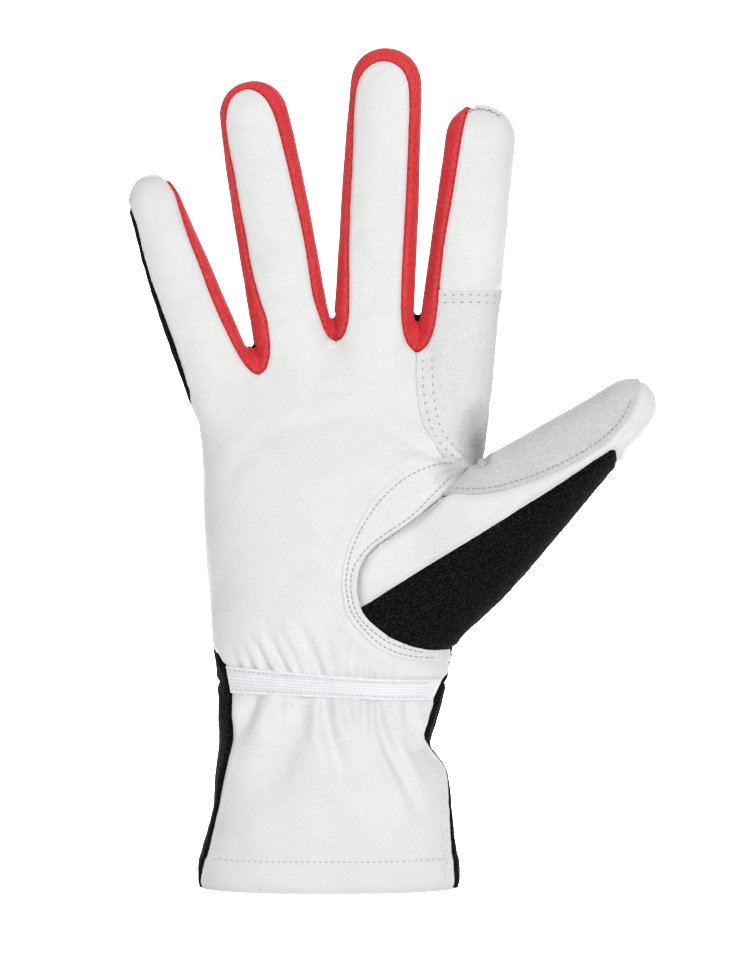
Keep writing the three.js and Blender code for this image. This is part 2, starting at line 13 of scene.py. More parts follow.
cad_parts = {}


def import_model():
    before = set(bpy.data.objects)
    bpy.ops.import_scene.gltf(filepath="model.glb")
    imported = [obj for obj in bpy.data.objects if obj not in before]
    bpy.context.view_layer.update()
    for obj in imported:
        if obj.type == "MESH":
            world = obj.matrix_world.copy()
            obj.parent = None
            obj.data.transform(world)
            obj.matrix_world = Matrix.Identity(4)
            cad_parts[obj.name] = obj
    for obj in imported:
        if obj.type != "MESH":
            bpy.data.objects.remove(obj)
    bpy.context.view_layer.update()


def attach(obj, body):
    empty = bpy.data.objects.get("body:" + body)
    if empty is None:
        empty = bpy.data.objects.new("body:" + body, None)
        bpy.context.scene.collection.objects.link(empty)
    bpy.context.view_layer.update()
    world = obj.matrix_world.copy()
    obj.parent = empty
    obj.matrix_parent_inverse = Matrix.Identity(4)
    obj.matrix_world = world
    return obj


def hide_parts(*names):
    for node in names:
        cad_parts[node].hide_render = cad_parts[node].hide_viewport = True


bl_info = {
    "name": "Cross-country ski glove",
    "version": (1, 0, 0),
    "blender": (4, 5, 0),
    "location": "View3D > Sidebar > Glove",
    "description": "Builds the looks of a right-hand cross-country ski glove",
    "category": "Object",
}

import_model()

MM = 0.001
# A y in mm that is well before the palm, where the rays that lay thread and tape start.
BEFORE_PALM = -90.0

# The hand's form.

# Cuff and palm: the outer surface at each height, and how far inside it the leather ends.
TRUNK = [
    # z, left, right, palm, back
    (-6, -39.6, 38.4, -22.0, 22.0),
    (0, -39.6, 38.4, -22.0, 22.0),
    (6, -39.6, 38.3, -22.0, 22.0),
    (15, -37.6, 37.1, -21.5, 21.5),
    (24, -35.4, 36.2, -21.0, 21.0),
    (33, -34.8, 35.0, -20.5, 20.5),
    (38, -34.2, 32.6, -20.0, 20.0),
    (42, -33.7, 29.5, -19.7, 19.7),
    (46, -33.6, 30.8, -19.3, 19.3),
    (50, -33.9, 32.2, -19.0, 19.0),
    (55, -33.8, 33.4, -18.5, 18.5),
    (61, -34.0, 34.6, -18.5, 18.5),
    (67, -34.6, 35.6, -19.0, 18.5),
    (75, -35.6, 37.5, -19.5, 18.3),
    (87, -36.2, 39.5, -20.0, 18.0),
    (100, -37.4, 41.5, -19.5, 17.5),
    (113, -38.0, 43.5, -18.5, 17.0),
    (125, -38.2, 45.3, -17.5, 16.0),
    (135, -39.1, 46.8, -14.4, 14.2),
    (144, -40.6, 47.6, -11.6, 11.6),
]
TRUNK_HIGH = 144
# The rounded top of the palm above that: share of the way up to the crotches, and of the full depth.
TRUNK_TOP = [(0.25, 0.965), (0.45, 0.9), (0.62, 0.8), (0.78, 0.66), (0.9, 0.46), (1.0, 0.12)]
# The web between two fingers leans back and stands higher on the back of the hand.
WEB_BACK = 4.0
WEB_RISE = 2.6
# Height of the crotches across the hand: x, z.
CROTCH_LINE = [(-44, 148), (-21.5, 160.5), (1.8, 166), (26.2, 169), (50, 150)]

# Fingers: base x and z, tip x and z, half widths and half depths at base and tip, how far the
# tip comes forward, a sideways bow, and how late the width narrows (1 is evenly).
FINGERS = {
    "little": (-29.3, 142, -55.2, 212.3, 10.9, 8.0, 9.4, 7.6, 5, -0.9, 2),
    "ring": (-8.4, 147, -24.7, 240.6, 11.7, 10.3, 10.4, 8.6, 6, 0, 4),
    "middle": (11.6, 147, 17.1, 250.5, 11.8, 10.6, 10.6, 8.8, 6, 0, 3),
    "index": (36.0, 147, 45.9, 233.8, 12.0, 10.4, 10.6, 9.0, 5, 0, 1),
}
FINGER_CAP = 10.5
# Rings of each limb's domed end, as shares of its height.
DOME = (0.25, 0.45, 0.62, 0.76, 0.87, 0.95, 0.99)

THUMB_TIP = (88.4, 143.3)
THUMB_ANGLE = math.radians(40)
THUMB_CAP = 9.0
# Thumb: distance back from the tip's middle, half width, half depth, y of its middle.
THUMB = [
    (-86, 21.5, 11.5, -3.0),
    (-72, 20.6, 13.0, -6.0),
    (-58, 19.0, 13.2, -8.6),
    (-40, 15.8, 12.2, -11.0),
    (-20, 12.1, 10.6, -13.0),
    (-6, 9.5, 9.4, -14.0),
    (0, 8.7, 8.8, -14.4),
]
SQUARENESS = 2.4

# The pattern's seam lines, as x and z seen from the palm.

# Edge of the palm leather along the side walls, from the little finger's tip to the index's.
LEATHER_EDGE = [
    (-50.4, 212.3), (-46.9, 207.4), (-45.4, 203.3), (-42.6, 194.4), (-39.2, 185.5), (-35.9, 176.6),
    (-32.0, 167.6), (-27.6, 158.9), (-24.2, 154.2), (-21.6, 152.8), (-19.2, 154.6),
    (-17.9, 160.2), (-18.9, 169.1), (-21.4, 176.6), (-23.7, 185.5), (-25.2, 194.4),
    (-27.0, 203.3), (-28.5, 212.3), (-30.3, 221.2), (-31.1, 228.0), (-29.6, 234.4),
    (-24.9, 237.5), (-20.2, 235.4), (-16.8, 229.8), (-14.4, 221.2), (-12.2, 212.3),
    (-10.2, 203.3), (-8.3, 194.4), (-6.8, 185.5), (-5.4, 176.6), (-3.4, 170.3),
    (-1.2, 165.0), (1.6, 162.8), (4.1, 164.8), (5.4, 169.9), (5.6, 176.6),
    (5.5, 189.9), (5.8, 203.3), (6.6, 216.7), (7.0, 230.1), (7.9, 238.6),
    (10.8, 243.6), (15.6, 245.6), (20.5, 243.7), (23.0, 239.0), (23.3, 230.1),
    (22.9, 216.7), (22.2, 203.3), (21.5, 189.9), (20.9, 176.6), (21.2, 167.8),
    (22.8, 162.1), (26.0, 159.3), (29.1, 162.2), (31.0, 167.6), (32.2, 176.6),
    (33.5, 189.9), (35.8, 203.3), (37.9, 216.7), (39.4, 225.7), (40.9, 231.0),
    (42.4, 232.6),
]
# From there round the outside of the hand, past the silhouette where the leather wraps over.
LEATHER_BEYOND_THUMB_SIDE = [(43.6, 242), (64, 242), (64, 68), (40, 67)]
LEATHER_CUFF_RIGHT = [
    (35.8, 65.0), (34.4, 62.6), (33.2, 60.0), (31.4, 56.0), (29.7, 51.0), (28.4, 47.0),
    (28.2, 45.0), (29.0, 43.2), (30.2, 41.8), (31.8, 40.2), (33.4, 38.6), (34.4, 36.4), (34.8, 33.5),
    (35.2, 30), (35.6, 24), (35.9, 19), (36.2, 14), (36.5, 10), (36.8, 6), (37.0, 2), (37.0, -8),
]
LEATHER_CUFF_LEFT = [
    (-38.8, -8), (-38.8, 1.2), (-38.2, 5.7), (-36.6, 11.6), (-35.6, 16.1), (-34.6, 20.5),
    (-33.5, 25.0), (-32.5, 29.4), (-31.3, 33.9), (-29.9, 38.4), (-29.1, 42.8), (-29.0, 47.3),
    (-29.5, 54.7), (-30.2, 60.6), (-31.2, 65.2), (-33.8, 69.8),
]
LEATHER_BEYOND_LITTLE_SIDE = [(-46, 72), (-49, 147)]
LEATHER_LITTLE_OUTER = [
    (-43.3, 149.8), (-44.4, 154.2), (-47.2, 163.2), (-50.6, 172.1), (-53.8, 181.0),
    (-56.4, 189.9), (-58.2, 197.5), (-59.6, 201.8), (-61.0, 204.8), (-64, 208), (-64, 218), (-50.4, 218),
]
INDEX_SEAM = [(24, 178.2), (31, 178.0), (41, 177.8), (51, 177.8), (62, 177.8)]
SUEDE_SEAM = [
    (25.9, 166), (25.6, 157.7), (25.6, 149.7), (27.1, 139.3), (31.4, 131.5), (36.9, 126.8), (44, 125.2),
]
GUSSET_SEAM = [
    (42.5, 127.0), (36.5, 127.9), (30.6, 127.9), (21.6, 123.5), (13.8, 116.6), (8.7, 108.9),
    (5.0, 100.6), (3.5, 92.4), (3.8, 87.4), (5.5, 81.1), (12.7, 73.0), (18.7, 69.7), (24.4, 68.2),
    (29, 67.6), (36, 67.3), (46, 67.3),
]
THUMB_SEAM = [
    (44.6, 126.1), (40.5, 125.2), (37.0, 122.6), (31.6, 116.8), (24.4, 109.9), (17.6, 105.2),
    (12.4, 101.4), (9.0, 96.5), (7.9, 91.5), (8.2, 86.6), (10.6, 81.0), (17.2, 75.4), (20.4, 73.8),
    (25.0, 71.9), (29.6, 71.0), (36, 70.6), (46, 70.6),
]
PAD_SEAM = [
    (30.5, 117.9), (36.5, 117.6), (43, 117.4), (49.8, 118.3), (58.8, 121.0), (67.4, 124.6), (75.2, 128.7),
    (82.4, 133.9), (87.4, 139.6), (89.8, 144.4), (91.0, 149.4), (91.4, 158),
]
THUMB_BACK_SEAM = [
    (7.0, 82.7), (9.9, 84.4), (30, 97.0), (50, 109.4), (68, 120.7), (82.7, 130.3), (84.8, 127.2), (92, 116),
]
ELASTIC_TOP = [
    (-46, 66.6), (-31.0, 66.2), (-21.6, 65.6), (-12, 64.9), (-2, 64.0), (8, 63.2), (17.6, 62.7), (29.4, 62.4),
    (46, 62.2),
]
ELASTIC_BOTTOM = [
    (-46, 58.6), (-29.2, 58.4), (-15, 58.1), (-2, 57.6), (10, 57.0), (17.3, 56.5), (28.2, 56.3), (46, 56.2),
]
LITTLE_TO_RING = [(-21.6, 140), (-21.6, 158), (-29, 178), (-36, 205), (-40, 222)]
RING_TO_MIDDLE = [(1.6, 140), (1.6, 165), (0.2, 178), (-1.5, 205), (-4, 238), (-4, 262)]
MIDDLE_TO_INDEX = [
    (26.0, 140), (26.0, 160), (25.8, 173), (27, 191), (28.2, 205), (30.5, 228), (32, 243), (32, 262),
]
LITTLE_MIDDLE = [(-50.4, 222), (-51.3, 211), (-42, 178), (-32, 146), (-32, 140)]
INDEX_MIDDLE = [(41.9, 245), (41.9, 234), (40, 213), (36, 178), (33, 148), (33, 140)]

# Where the leather and the side walls end on slanted planes: y at z = 0, and fall per mm of height.
LEATHER_PLANE = (3.0, 0.025)
BACK_PLANE = (12.5, 0.058)
THUMB_REAR_Y = -10.5
# Near some places those planes stand further forward, or further back if less than 0: x, z, reach, how
# far. The black back shows over each web between two fingers, and leather and suede wrap right over the
# thumb's crotch and its root.
OVER_WEBS = [(-21.5, 163.0, 3.6, 2.7), (1.8, 168.6, 3.6, 2.7), (26.2, 171.5, 3.6, 2.7)]
OVER_CROTCH = [(47.0, 130.5, 8.5, -7.5)]
THUMB_ROOT = [(47.5, 130.0, 9.0, -15.0)]
# The leather's long edge lies further back beside the index finger's cross seam. It runs out slantwise
# at the little finger's root, at the palm's heel and at the little finger's tip, and on the thumb side
# at the cuff's narrowest place and at the gusset's end.
OVER_EDGE = [
    (50.0, 178.0, 9.0, -1.6), (-42.0, 149.0, 4.0, 4.0), (-35.0, 70.5, 3.5, 3.5), (-61.0, 208.0, 5.0, 2.2),
    (32.0, 40.0, 12.0, 4.4), (37.0, 70.0, 12.0, 3.2),
]
CUFF_BACK_TOP = 61.0


def smooth_values(xs, ys, at):
    """A monotone cubic through table values, at any places."""
    xs = np.asarray(xs, float)
    ys = np.asarray(ys, float)
    at = np.clip(at, xs[0], xs[-1])
    steps = np.diff(xs)
    slopes = np.diff(ys) / steps
    tangents = np.zeros(len(xs))
    same = slopes[:-1] * slopes[1:] > 0
    tangents[1:-1][same] = (2 * slopes[:-1] * slopes[1:] / (slopes[:-1] + slopes[1:] + 1e-12))[same]
    tangents[0] = slopes[0]
    tangents[-1] = slopes[-1]
    i = np.clip(np.searchsorted(xs, at) - 1, 0, len(steps) - 1)
    h = steps[i]
    t = (at - xs[i]) / h
    return (
        (2 * t**3 - 3 * t**2 + 1) * ys[i]
        + (t**3 - 2 * t**2 + t) * h * tangents[i]
        + (-2 * t**3 + 3 * t**2) * ys[i + 1]
        + (t**3 - t**2) * h * tangents[i + 1]
    )


def smooth_step(value, low, high):
    t = np.clip((value - low) / (high - low), 0, 1)
    return t * t * (3 - 2 * t)


def curve(points, steps=6):
    """A rounded line through a few points."""
    p = np.asarray(points, float)
    p = np.vstack([2 * p[0] - p[1], p, 2 * p[-1] - p[-2]])
    out = []
    for i in range(1, len(p) - 2):
        p0, p1, p2, p3 = p[i - 1], p[i], p[i + 1], p[i + 2]
        for k in range(steps):
            t = k / steps
            out.append(
                0.5
                * (
                    2 * p1
                    + (p2 - p0) * t
                    + (2 * p0 - 5 * p1 + 4 * p2 - p3) * t**2
                    + (3 * p1 - p0 - 3 * p2 + p3) * t**3
                )
            )
    out.append(p[-2])
    return np.array(out)


def rounded_section(sides, half, palm, back):
    """x and y of a rounded section with its own depth towards the palm and the back."""
    turn = 2 * np.pi * np.arange(sides) / sides
    c, s = np.cos(turn), np.sin(turn)
    power = 2 / SQUARENESS
    x = half * np.sign(c) * np.abs(c) ** power
    y = np.where(s < 0, palm, back) * np.sign(s) * np.abs(s) ** power
    return x, y


def tube_mesh(name, rings):
    """A closed tube through rings of points in mm."""
    sides = len(rings[0])
    verts = np.vstack(rings + [rings[0].mean(0)[None], rings[-1].mean(0)[None]]) * MM
    faces = []
    for k in range(len(rings) - 1):
        for i in range(sides):
            j = (i + 1) % sides
            faces.append((k * sides + i, k * sides + j, (k + 1) * sides + j, (k + 1) * sides + i))
    first, last = len(verts) - 2, len(verts) - 1
    top = (len(rings) - 1) * sides
    for i in range(sides):
        j = (i + 1) % sides
        faces.append((first, j, i))
        faces.append((last, top + i, top + j))
    mesh = bpy.data.meshes.new(name)
    mesh.from_pydata([tuple(v) for v in verts], [], faces)
    made = bpy.data.objects.new(name, mesh)
    bpy.context.collection.objects.link(made)
    return made


def trunk_tube():
    table = np.array(TRUNK, float)
    rings = []

    crotch = np.array(CROTCH_LINE, float)

    def ring(z, deep, up):
        left, right, palm, back = (smooth_values(table[:, 0], table[:, c], z) for c in (1, 2, 3, 4))
        x, y = rounded_section(96, (right - left) / 2, -palm * deep, back * deep)
        x = x + (left + right) / 2
        height = z + (smooth_values(crotch[:, 0], crotch[:, 1], x) - z) * up
        rings.append(np.column_stack([x, y + WEB_BACK * up**2, height + WEB_RISE * up**2]))

    for z in np.arange(TRUNK[0][0], TRUNK_HIGH + 0.1, 1.5):
        ring(z, 1.0, 0.0)
    for up, deep in TRUNK_TOP:
        ring(TRUNK_HIGH, deep, up)
    return tube_mesh("trunk", rings)


def finger_tube(name):
    bx, bz, tx, tz, half0, half1, deep0, deep1, curl, bow, late = FINGERS[name]
    axis = np.array([tx - bx, tz - bz], float)
    length = np.hypot(*axis)
    along = axis / length
    shaft = (length - FINGER_CAP) / length
    rings = []
    shares = list(np.linspace(-0.12, 1, 30)) + [1 + up for up in DOME]
    for share in shares:
        up = max(0.0, share - 1)
        t = min(share, 1) * shaft
        narrow = math.sqrt(max(0.0, 1 - up * up))
        grip = min(share, 1)
        half = half0 + (half1 - half0) * max(0, grip) ** late
        deep = deep0 + (deep1 - deep0) * max(0, grip)
        root = 1 - 0.25 * max(0, -share) / 0.12
        x, y = rounded_section(48, half * narrow * root, deep * narrow * root, deep * narrow * root)
        ahead = FINGER_CAP * up
        px = bx + axis[0] * t + bow * 4 * max(t, 0) * (1 - t) + along[0] * ahead + along[1] * x
        pz = bz + axis[1] * t + along[1] * ahead - along[0] * x
        rings.append(np.column_stack([px, y - curl * t * t, pz]))
    return tube_mesh(name, rings)


def thumb_tube():
    table = np.array(THUMB, float)
    ax, az = math.cos(THUMB_ANGLE), math.sin(THUMB_ANGLE)
    rings = []

    def ring(ahead, half, deep, y0):
        x, y = rounded_section(56, half, deep, deep)
        rings.append(
            np.column_stack([THUMB_TIP[0] + ax * ahead + az * x, y + y0, THUMB_TIP[1] + az * ahead - ax * x])
        )

    for at in np.linspace(THUMB[0][0], 0, 44):
        half, deep, y0 = (smooth_values(table[:, 0], table[:, c], at) for c in (1, 2, 3))
        ring(at, half, deep, y0)
    for up in DOME:
        narrow = math.sqrt(1 - up * up)
        ring(THUMB_CAP * up, table[-1, 1] * narrow, table[-1, 2] * narrow, table[-1, 3])
    return tube_mesh("thumb", rings)


def apply_modifier(obj, kind, **settings):
    """Adds a modifier and applies it at once."""
    bpy.context.view_layer.objects.active = obj
    modifier = obj.modifiers.new(kind, kind)
    for key, value in settings.items():
        setattr(modifier, key, value)
    bpy.ops.object.modifier_apply(modifier=modifier.name)


def deselect():
    bpy.ops.object.select_all(action="DESELECT")


def mesh_arrays(obj):
    """Corners in mm and triangles of a mesh."""
    mesh = obj.data
    verts = np.empty(len(mesh.vertices) * 3)
    mesh.vertices.foreach_get("co", verts)
    mesh.calc_loop_triangles()
    tris = np.empty(len(mesh.loop_triangles) * 3, np.int64)
    mesh.loop_triangles.foreach_get("vertices", tris)
    return verts.reshape(-1, 3) / MM, tris.reshape(-1, 3)


def corner_normals(verts, tris):
    a, b, c = (verts[tris[:, k]] for k in range(3))
    face = np.cross(b - a, c - a)
    normals = np.zeros_like(verts)
    for k in range(3):
        np.add.at(normals, tris[:, k], face)
    return normals / np.maximum(np.linalg.norm(normals, axis=1, keepdims=True), 1e-12)


def relaxed(verts, tris, share, rounds):
    """Corners evened out between their neighbours, as much as each one's share."""
    edges = np.vstack([tris[:, [0, 1]], tris[:, [1, 2]], tris[:, [2, 0]]])
    edges = np.unique(np.sort(edges, axis=1), axis=0)
    edges = edges[(share[edges] > 0).any(1)]
    count = np.zeros(len(verts))
    for k in (0, 1):
        np.add.at(count, edges[:, k], 1)
    count = np.maximum(count, 1)
    verts = verts.copy()
    moving = share > 0
    for _ in range(rounds):
        total = np.zeros_like(verts)
        for axis in range(3):
            total[:, axis] = np.bincount(edges[:, 0], verts[edges[:, 1], axis], len(verts))
            total[:, axis] += np.bincount(edges[:, 1], verts[edges[:, 0], axis], len(verts))
        mean = total / count[:, None]
        verts[moving] += (mean - verts)[moving] * (0.6 * share[moving])[:, None]
    return verts


def root_share(p):
    """Where the limbs' roots are evened into the palm and the back."""
    x, y, z = p.T
    thumb = (1 - smooth_step(np.hypot((x - 26) / 26, (z - 98) / 34), 0.75, 1.1)) * (y < 4)
    knuckles = smooth_step(z, 122, 132) * (1 - smooth_step(z, 150, 164)) * smooth_step(np.abs(y), 4, 8)
    return np.clip(np.maximum(thumb, 0.8 * knuckles), 0, 1)


def signed_distance(points, outline):
    """Distance in mm from each (x, z) point to a closed outline, more than 0 inside it."""
    best = np.full(len(points), 1e9)
    inside = np.zeros(len(points), bool)
    x, z = points[:, 0], points[:, 1]
    for a, b in zip(outline, np.roll(outline, -1, axis=0)):
        edge = b - a
        t = np.clip(((x - a[0]) * edge[0] + (z - a[1]) * edge[1]) / max(edge @ edge, 1e-12), 0, 1)
        best = np.minimum(best, np.hypot(x - a[0] - t * edge[0], z - a[1] - t * edge[1]))
        crosses = (a[1] > z) != (b[1] > z)
        if crosses.any():
            at = a[0] + (z - a[1]) / (b[1] - a[1] if b[1] != a[1] else 1e-12) * edge[0]
            inside ^= crosses & (x < at)
    return np.where(inside, best, -best)


def line_distance(points, line):
    """Distance from each (x, z) point to an open line, and the share of its length there."""
    lengths = np.concatenate([[0], np.cumsum(np.hypot(*np.diff(line, axis=0).T))])
    best = np.full(len(points), 1e9)
    share = np.zeros(len(points))
    side = np.zeros(len(points))
    for i, (a, b) in enumerate(zip(line[:-1], line[1:])):
        edge = b - a
        dx, dz = points[:, 0] - a[0], points[:, 1] - a[1]
        t = np.clip((dx * edge[0] + dz * edge[1]) / max(edge @ edge, 1e-12), 0, 1)
        d = np.hypot(dx - t * edge[0], dz - t * edge[1])
        near = d < best
        best[near] = d[near]
        share[near] = ((lengths[i] + t * (lengths[i + 1] - lengths[i])) / lengths[-1])[near]
        side[near] = np.sign(edge[0] * dz - edge[1] * dx)[near]
    return best, share, side


# Folds and gathers of the worn leather, and the most that they push in together, in mm.
DEEPEST = 2.3
FOLDS = [
    # line, width, depth, fades at the start, fades at the end
    ([(-21.8, 58.0), (-25.0, 49.5), (-29.6, 38.5)], 1.7, 1.5, False, True),
    ([(-7.7, 57.5), (-13.5, 44), (-25.5, 19.5)], 3.6, 2.5, False, True),
    ([(-14.4, 57.8), (-15.8, 51), (-19, 45)], 1.1, 1.1, False, True),
    ([(-1.2, 58), (-1.2, 52), (0.6, 43.6), (7.0, 27)], 1.5, 2.0, False, True),
    ([(4.6, 58), (5.0, 53.5), (6.0, 48)], 0.9, 0.9, False, True),
    ([(10.3, 58), (10.4, 53.3), (11.4, 46)], 1.0, 1.2, False, True),
    ([(13.8, 57.5), (14.6, 51), (17.2, 43), (22.4, 32.4), (30.0, 15)], 1.1, 1.9, False, True),
    ([(22.5, 57), (23.6, 50), (27.0, 42)], 1.2, 1.0, False, True),
    ([(-30.5, 57), (-31.0, 50), (-32.0, 43)], 1.4, 0.6, False, True),
    ([(-26.8, 65), (-28.6, 70), (-32.0, 77)], 1.0, 0.7, False, True),
    ([(-22.8, 65), (-25.4, 71), (-30.0, 80)], 1.0, 0.9, False, True),
    ([(-18.0, 65), (-21.2, 71), (-27.5, 82.5)], 1.1, 1.05, False, True),
    ([(-12.4, 64.5), (-16.0, 71), (-22.5, 84)], 1.1, 1.2, False, True),
    ([(-8.4, 64.5), (-11.6, 70.5), (-18.4, 84)], 0.9, 0.85, False, True),
    ([(-2.4, 64), (-5.6, 71), (-12.0, 83)], 1.1, 1.2, False, True),
    ([(-5.6, 64.5), (-7.6, 69), (-11.0, 75)], 0.8, 0.7, False, True),
    ([(1.2, 64), (0.2, 69), (-1.8, 77)], 0.9, 0.8, False, True),
    ([(4.2, 63.5), (4.0, 68.5), (4.2, 76)], 0.9, 0.65, False, True),
    ([(7.2, 63.5), (7.3, 67.5), (7.8, 73)], 0.8, 0.7, False, True),
    ([(10.4, 63), (10.8, 66.5), (11.4, 71.5)], 0.9, 0.8, False, True),
    ([(14.0, 63), (14.6, 66.5), (15.4, 71)], 0.9, 0.6, False, True),
    ([(19.0, 62.5), (19.8, 65.5), (20.6, 68.5)], 0.9, 0.5, False, True),
    ([(36.5, 127.0), (27, 131.5), (18, 135.5), (9.5, 139.0)], 1.2, 0.8, False, True),
    ([(37.5, 126.0), (30, 129.0), (20, 130.5), (10, 130)], 1.3, 0.8, False, True),
    ([(39.5, 124.6), (33.5, 123.0), (28.5, 117.5)], 0.8, 0.7, False, True),
    ([(45.8, 127.8), (40.8, 125.2), (37, 122.6), (31.6, 116.8), (24.4, 109.9), (16, 104)],
     1.3, 0.9, False, True),
    ([(44.8, 126.8), (42.8, 130.5), (41.2, 135), (40.2, 144)], 2.2, 2.6, False, True),
    ([(44.4, 126.6), (39.5, 129.2), (35.5, 133.5)], 0.9, 1.1, False, True),
    ([(45.8, 127.6), (45.0, 132), (44.6, 137)], 0.9, 1.1, False, True),
    ([(-30, 133), (-12, 137), (6, 141), (21, 147)], 2.6, 0.45, True, True),
    ([(-22, 99), (-8, 92), (4, 82)], 3.2, 0.4, True, True),
    ([(-34, 118), (-26, 128), (-16, 137)], 2.4, 0.4, True, True),
    ([(-27, 146), (-22, 142), (-14, 141)], 1.5, 0.25, True, True),
    ([(-6, 150), (2, 147.5), (10, 150)], 1.5, 0.25, True, True),
    ([(-47.5, 176), (-40, 178.5), (-34.5, 180)], 1.6, 0.4, True, True),
    ([(-24, 190), (-17, 191.5), (-10, 190)], 1.8, 0.4, True, True),
    ([(-21, 168), (-13, 171), (-6, 169)], 1.8, 0.4, True, True),
    ([(6, 196), (14, 197.5), (22, 196)], 1.8, 0.4, True, True),
    ([(7, 190), (12, 186), (15, 180)], 1.2, 0.25, True, True),
    ([(6.5, 171), (13, 173.5), (20, 172)], 1.8, 0.4, True, True),
    ([(36, 205), (43, 206.5), (51, 205)], 1.8, 0.35, True, True),
    ([(52, 106), (47, 100), (44, 92)], 2.2, 0.6, True, True),
    ([(60, 118), (57, 111), (55, 104)], 1.8, 0.5, True, True),
    ([(12, 92), (20, 96.5), (27, 97)], 1.5, 0.35, False, True),
    ([(13, 97.5), (20, 101), (29, 103)], 1.3, 0.3, False, True),
    ([(84, 131), (86.6, 134.5), (88.6, 139.5)], 1.0, 0.6, True, True),
    ([(87, 128.5), (90.5, 132.0), (92.5, 137.5)], 1.0, 0.6, True, True),
    ([(42.9, 236), (42.6, 231.2), (42.4, 228.6)], 0.5, 0.55, False, True),
    ([(44.4, 236), (44.2, 231.6), (44.2, 228.8)], 0.5, 0.55, False, True),
    ([(46.0, 236), (45.8, 231.8), (45.9, 229.2)], 0.5, 0.55, False, True),
    ([(47.6, 236), (47.3, 231.6), (47.2, 228.6)], 0.5, 0.55, False, True),
    ([(49.3, 236), (48.9, 231.0), (48.6, 228.4)], 0.5, 0.55, False, True),
    ([(51.0, 235), (50.5, 230.2), (50.0, 227.6)], 0.5, 0.55, False, True),
    ([(52.6, 233), (51.9, 228.8), (51.2, 226.4)], 0.5, 0.45, False, True),
]

PIECES = {
    # node: finish, slot
    "palm_panel": ("leather", "leather"),
    "index_tip_panel": ("leather", "leather"),
    "thumb_front_panel": ("leather", "leather"),
    "thumb_gusset": ("leather", "leather"),
    "cuff_front": ("leather", "leather"),
    "index_reinforcement": ("suede", "suede"),
    "thumb_pad_patch": ("suede", "suede"),
    "finger_side_little": ("red", "red_stretch"),
    "finger_side_ring": ("red", "red_stretch"),
    "finger_side_middle": ("red", "red_stretch"),
    "finger_side_index": ("red", "red_stretch"),
    "thumb_back_panel": ("black", "black_stretch"),
    "back_panel": ("black", "black_stretch"),
    "cuff_back": ("black", "black_stretch"),
    "wrist_elastic": ("elastic", "elastic"),
}
NUMBERS = {name: i + 1 for i, name in enumerate(PIECES)}
OFF_CUT = 0

# What a piece's edge does beside its neighbour: height at the edge and over what width, then the
# height of the swell behind it and how far back that stands. Names of pieces come before finishes.
PLAIN_SEAM = (-0.45, 0.9, 0.1, 2.0)
SEAMS = [
    # piece, neighbour, edge, width, swell, swell_at
    ("thumb_gusset", "thumb_front_panel", 0.25, 1.2, 0.0, 2.6),
    ("thumb_front_panel", "thumb_gusset", -1.8, 1.5, 0.2, 3.2),
    ("thumb_gusset", "thumb_back_panel", -0.9, 1.1, 0.0, 2.0),
    ("thumb_back_panel", "thumb_gusset", -1.1, 1.5, 0.2, 3.0),
    ("thumb_gusset", "palm_panel", 0.30, 1.6, 0.0, 2.0),
    ("palm_panel", "thumb_gusset", -0.35, 1.2, 0.15, 2.4),
    ("thumb_gusset", "suede", -0.5, 1.0, 0.0, 2.0),
    ("index_reinforcement", "palm_panel", 0.35, 2.2, 0.0, 3.0),
    ("palm_panel", "index_reinforcement", -0.35, 0.9, 0.1, 2.0),
    ("index_reinforcement", "index_tip_panel", 0.35, 2.2, 0.0, 3.0),
    ("index_tip_panel", "index_reinforcement", -0.35, 0.9, 0.12, 2.2),
    ("thumb_pad_patch", "thumb_front_panel", 0.5, 1.5, 0.0, 2.4),
    ("thumb_front_panel", "thumb_pad_patch", -0.5, 0.8, 0.2, 1.9),
    ("thumb_back_panel", "thumb_front_panel", -0.75, 1.0, 0.2, 2.2),
    ("thumb_front_panel", "thumb_back_panel", -0.55, 0.8, 0.25, 1.8),
    ("leather", "elastic", -0.5, 0.9, 0.1, 2.4),
    ("leather", "red", -0.12, 0.5, 0.22, 1.1),
    ("suede", "red", -0.12, 0.5, 0.22, 1.1),
    ("red", "leather", -1.25, 0.85, 0.25, 1.9),
    ("red", "suede", -1.25, 0.85, 0.25, 1.9),
    ("leather", "black", -0.5, 0.8, 0.2, 1.8),
    ("suede", "black", -0.5, 0.8, 0.2, 1.8),
    ("black", "leather", -0.9, 0.9, 0.2, 2.0),
    ("black", "suede", -0.9, 0.9, 0.2, 2.0),
    ("black", "red", -0.6, 0.8, 0.15, 1.9),
    ("red", "black", -0.7, 0.8, 0.2, 1.8),
    ("red", "red", -0.6, 0.8, 0.1, 1.8),
    ("black", "black", -0.6, 0.9, 0.15, 2.0),
    ("black", "elastic", -0.6, 0.9, 0.15, 2.0),
]


def outline_of(*parts):
    return np.vstack([np.asarray(part, float) for part in parts])


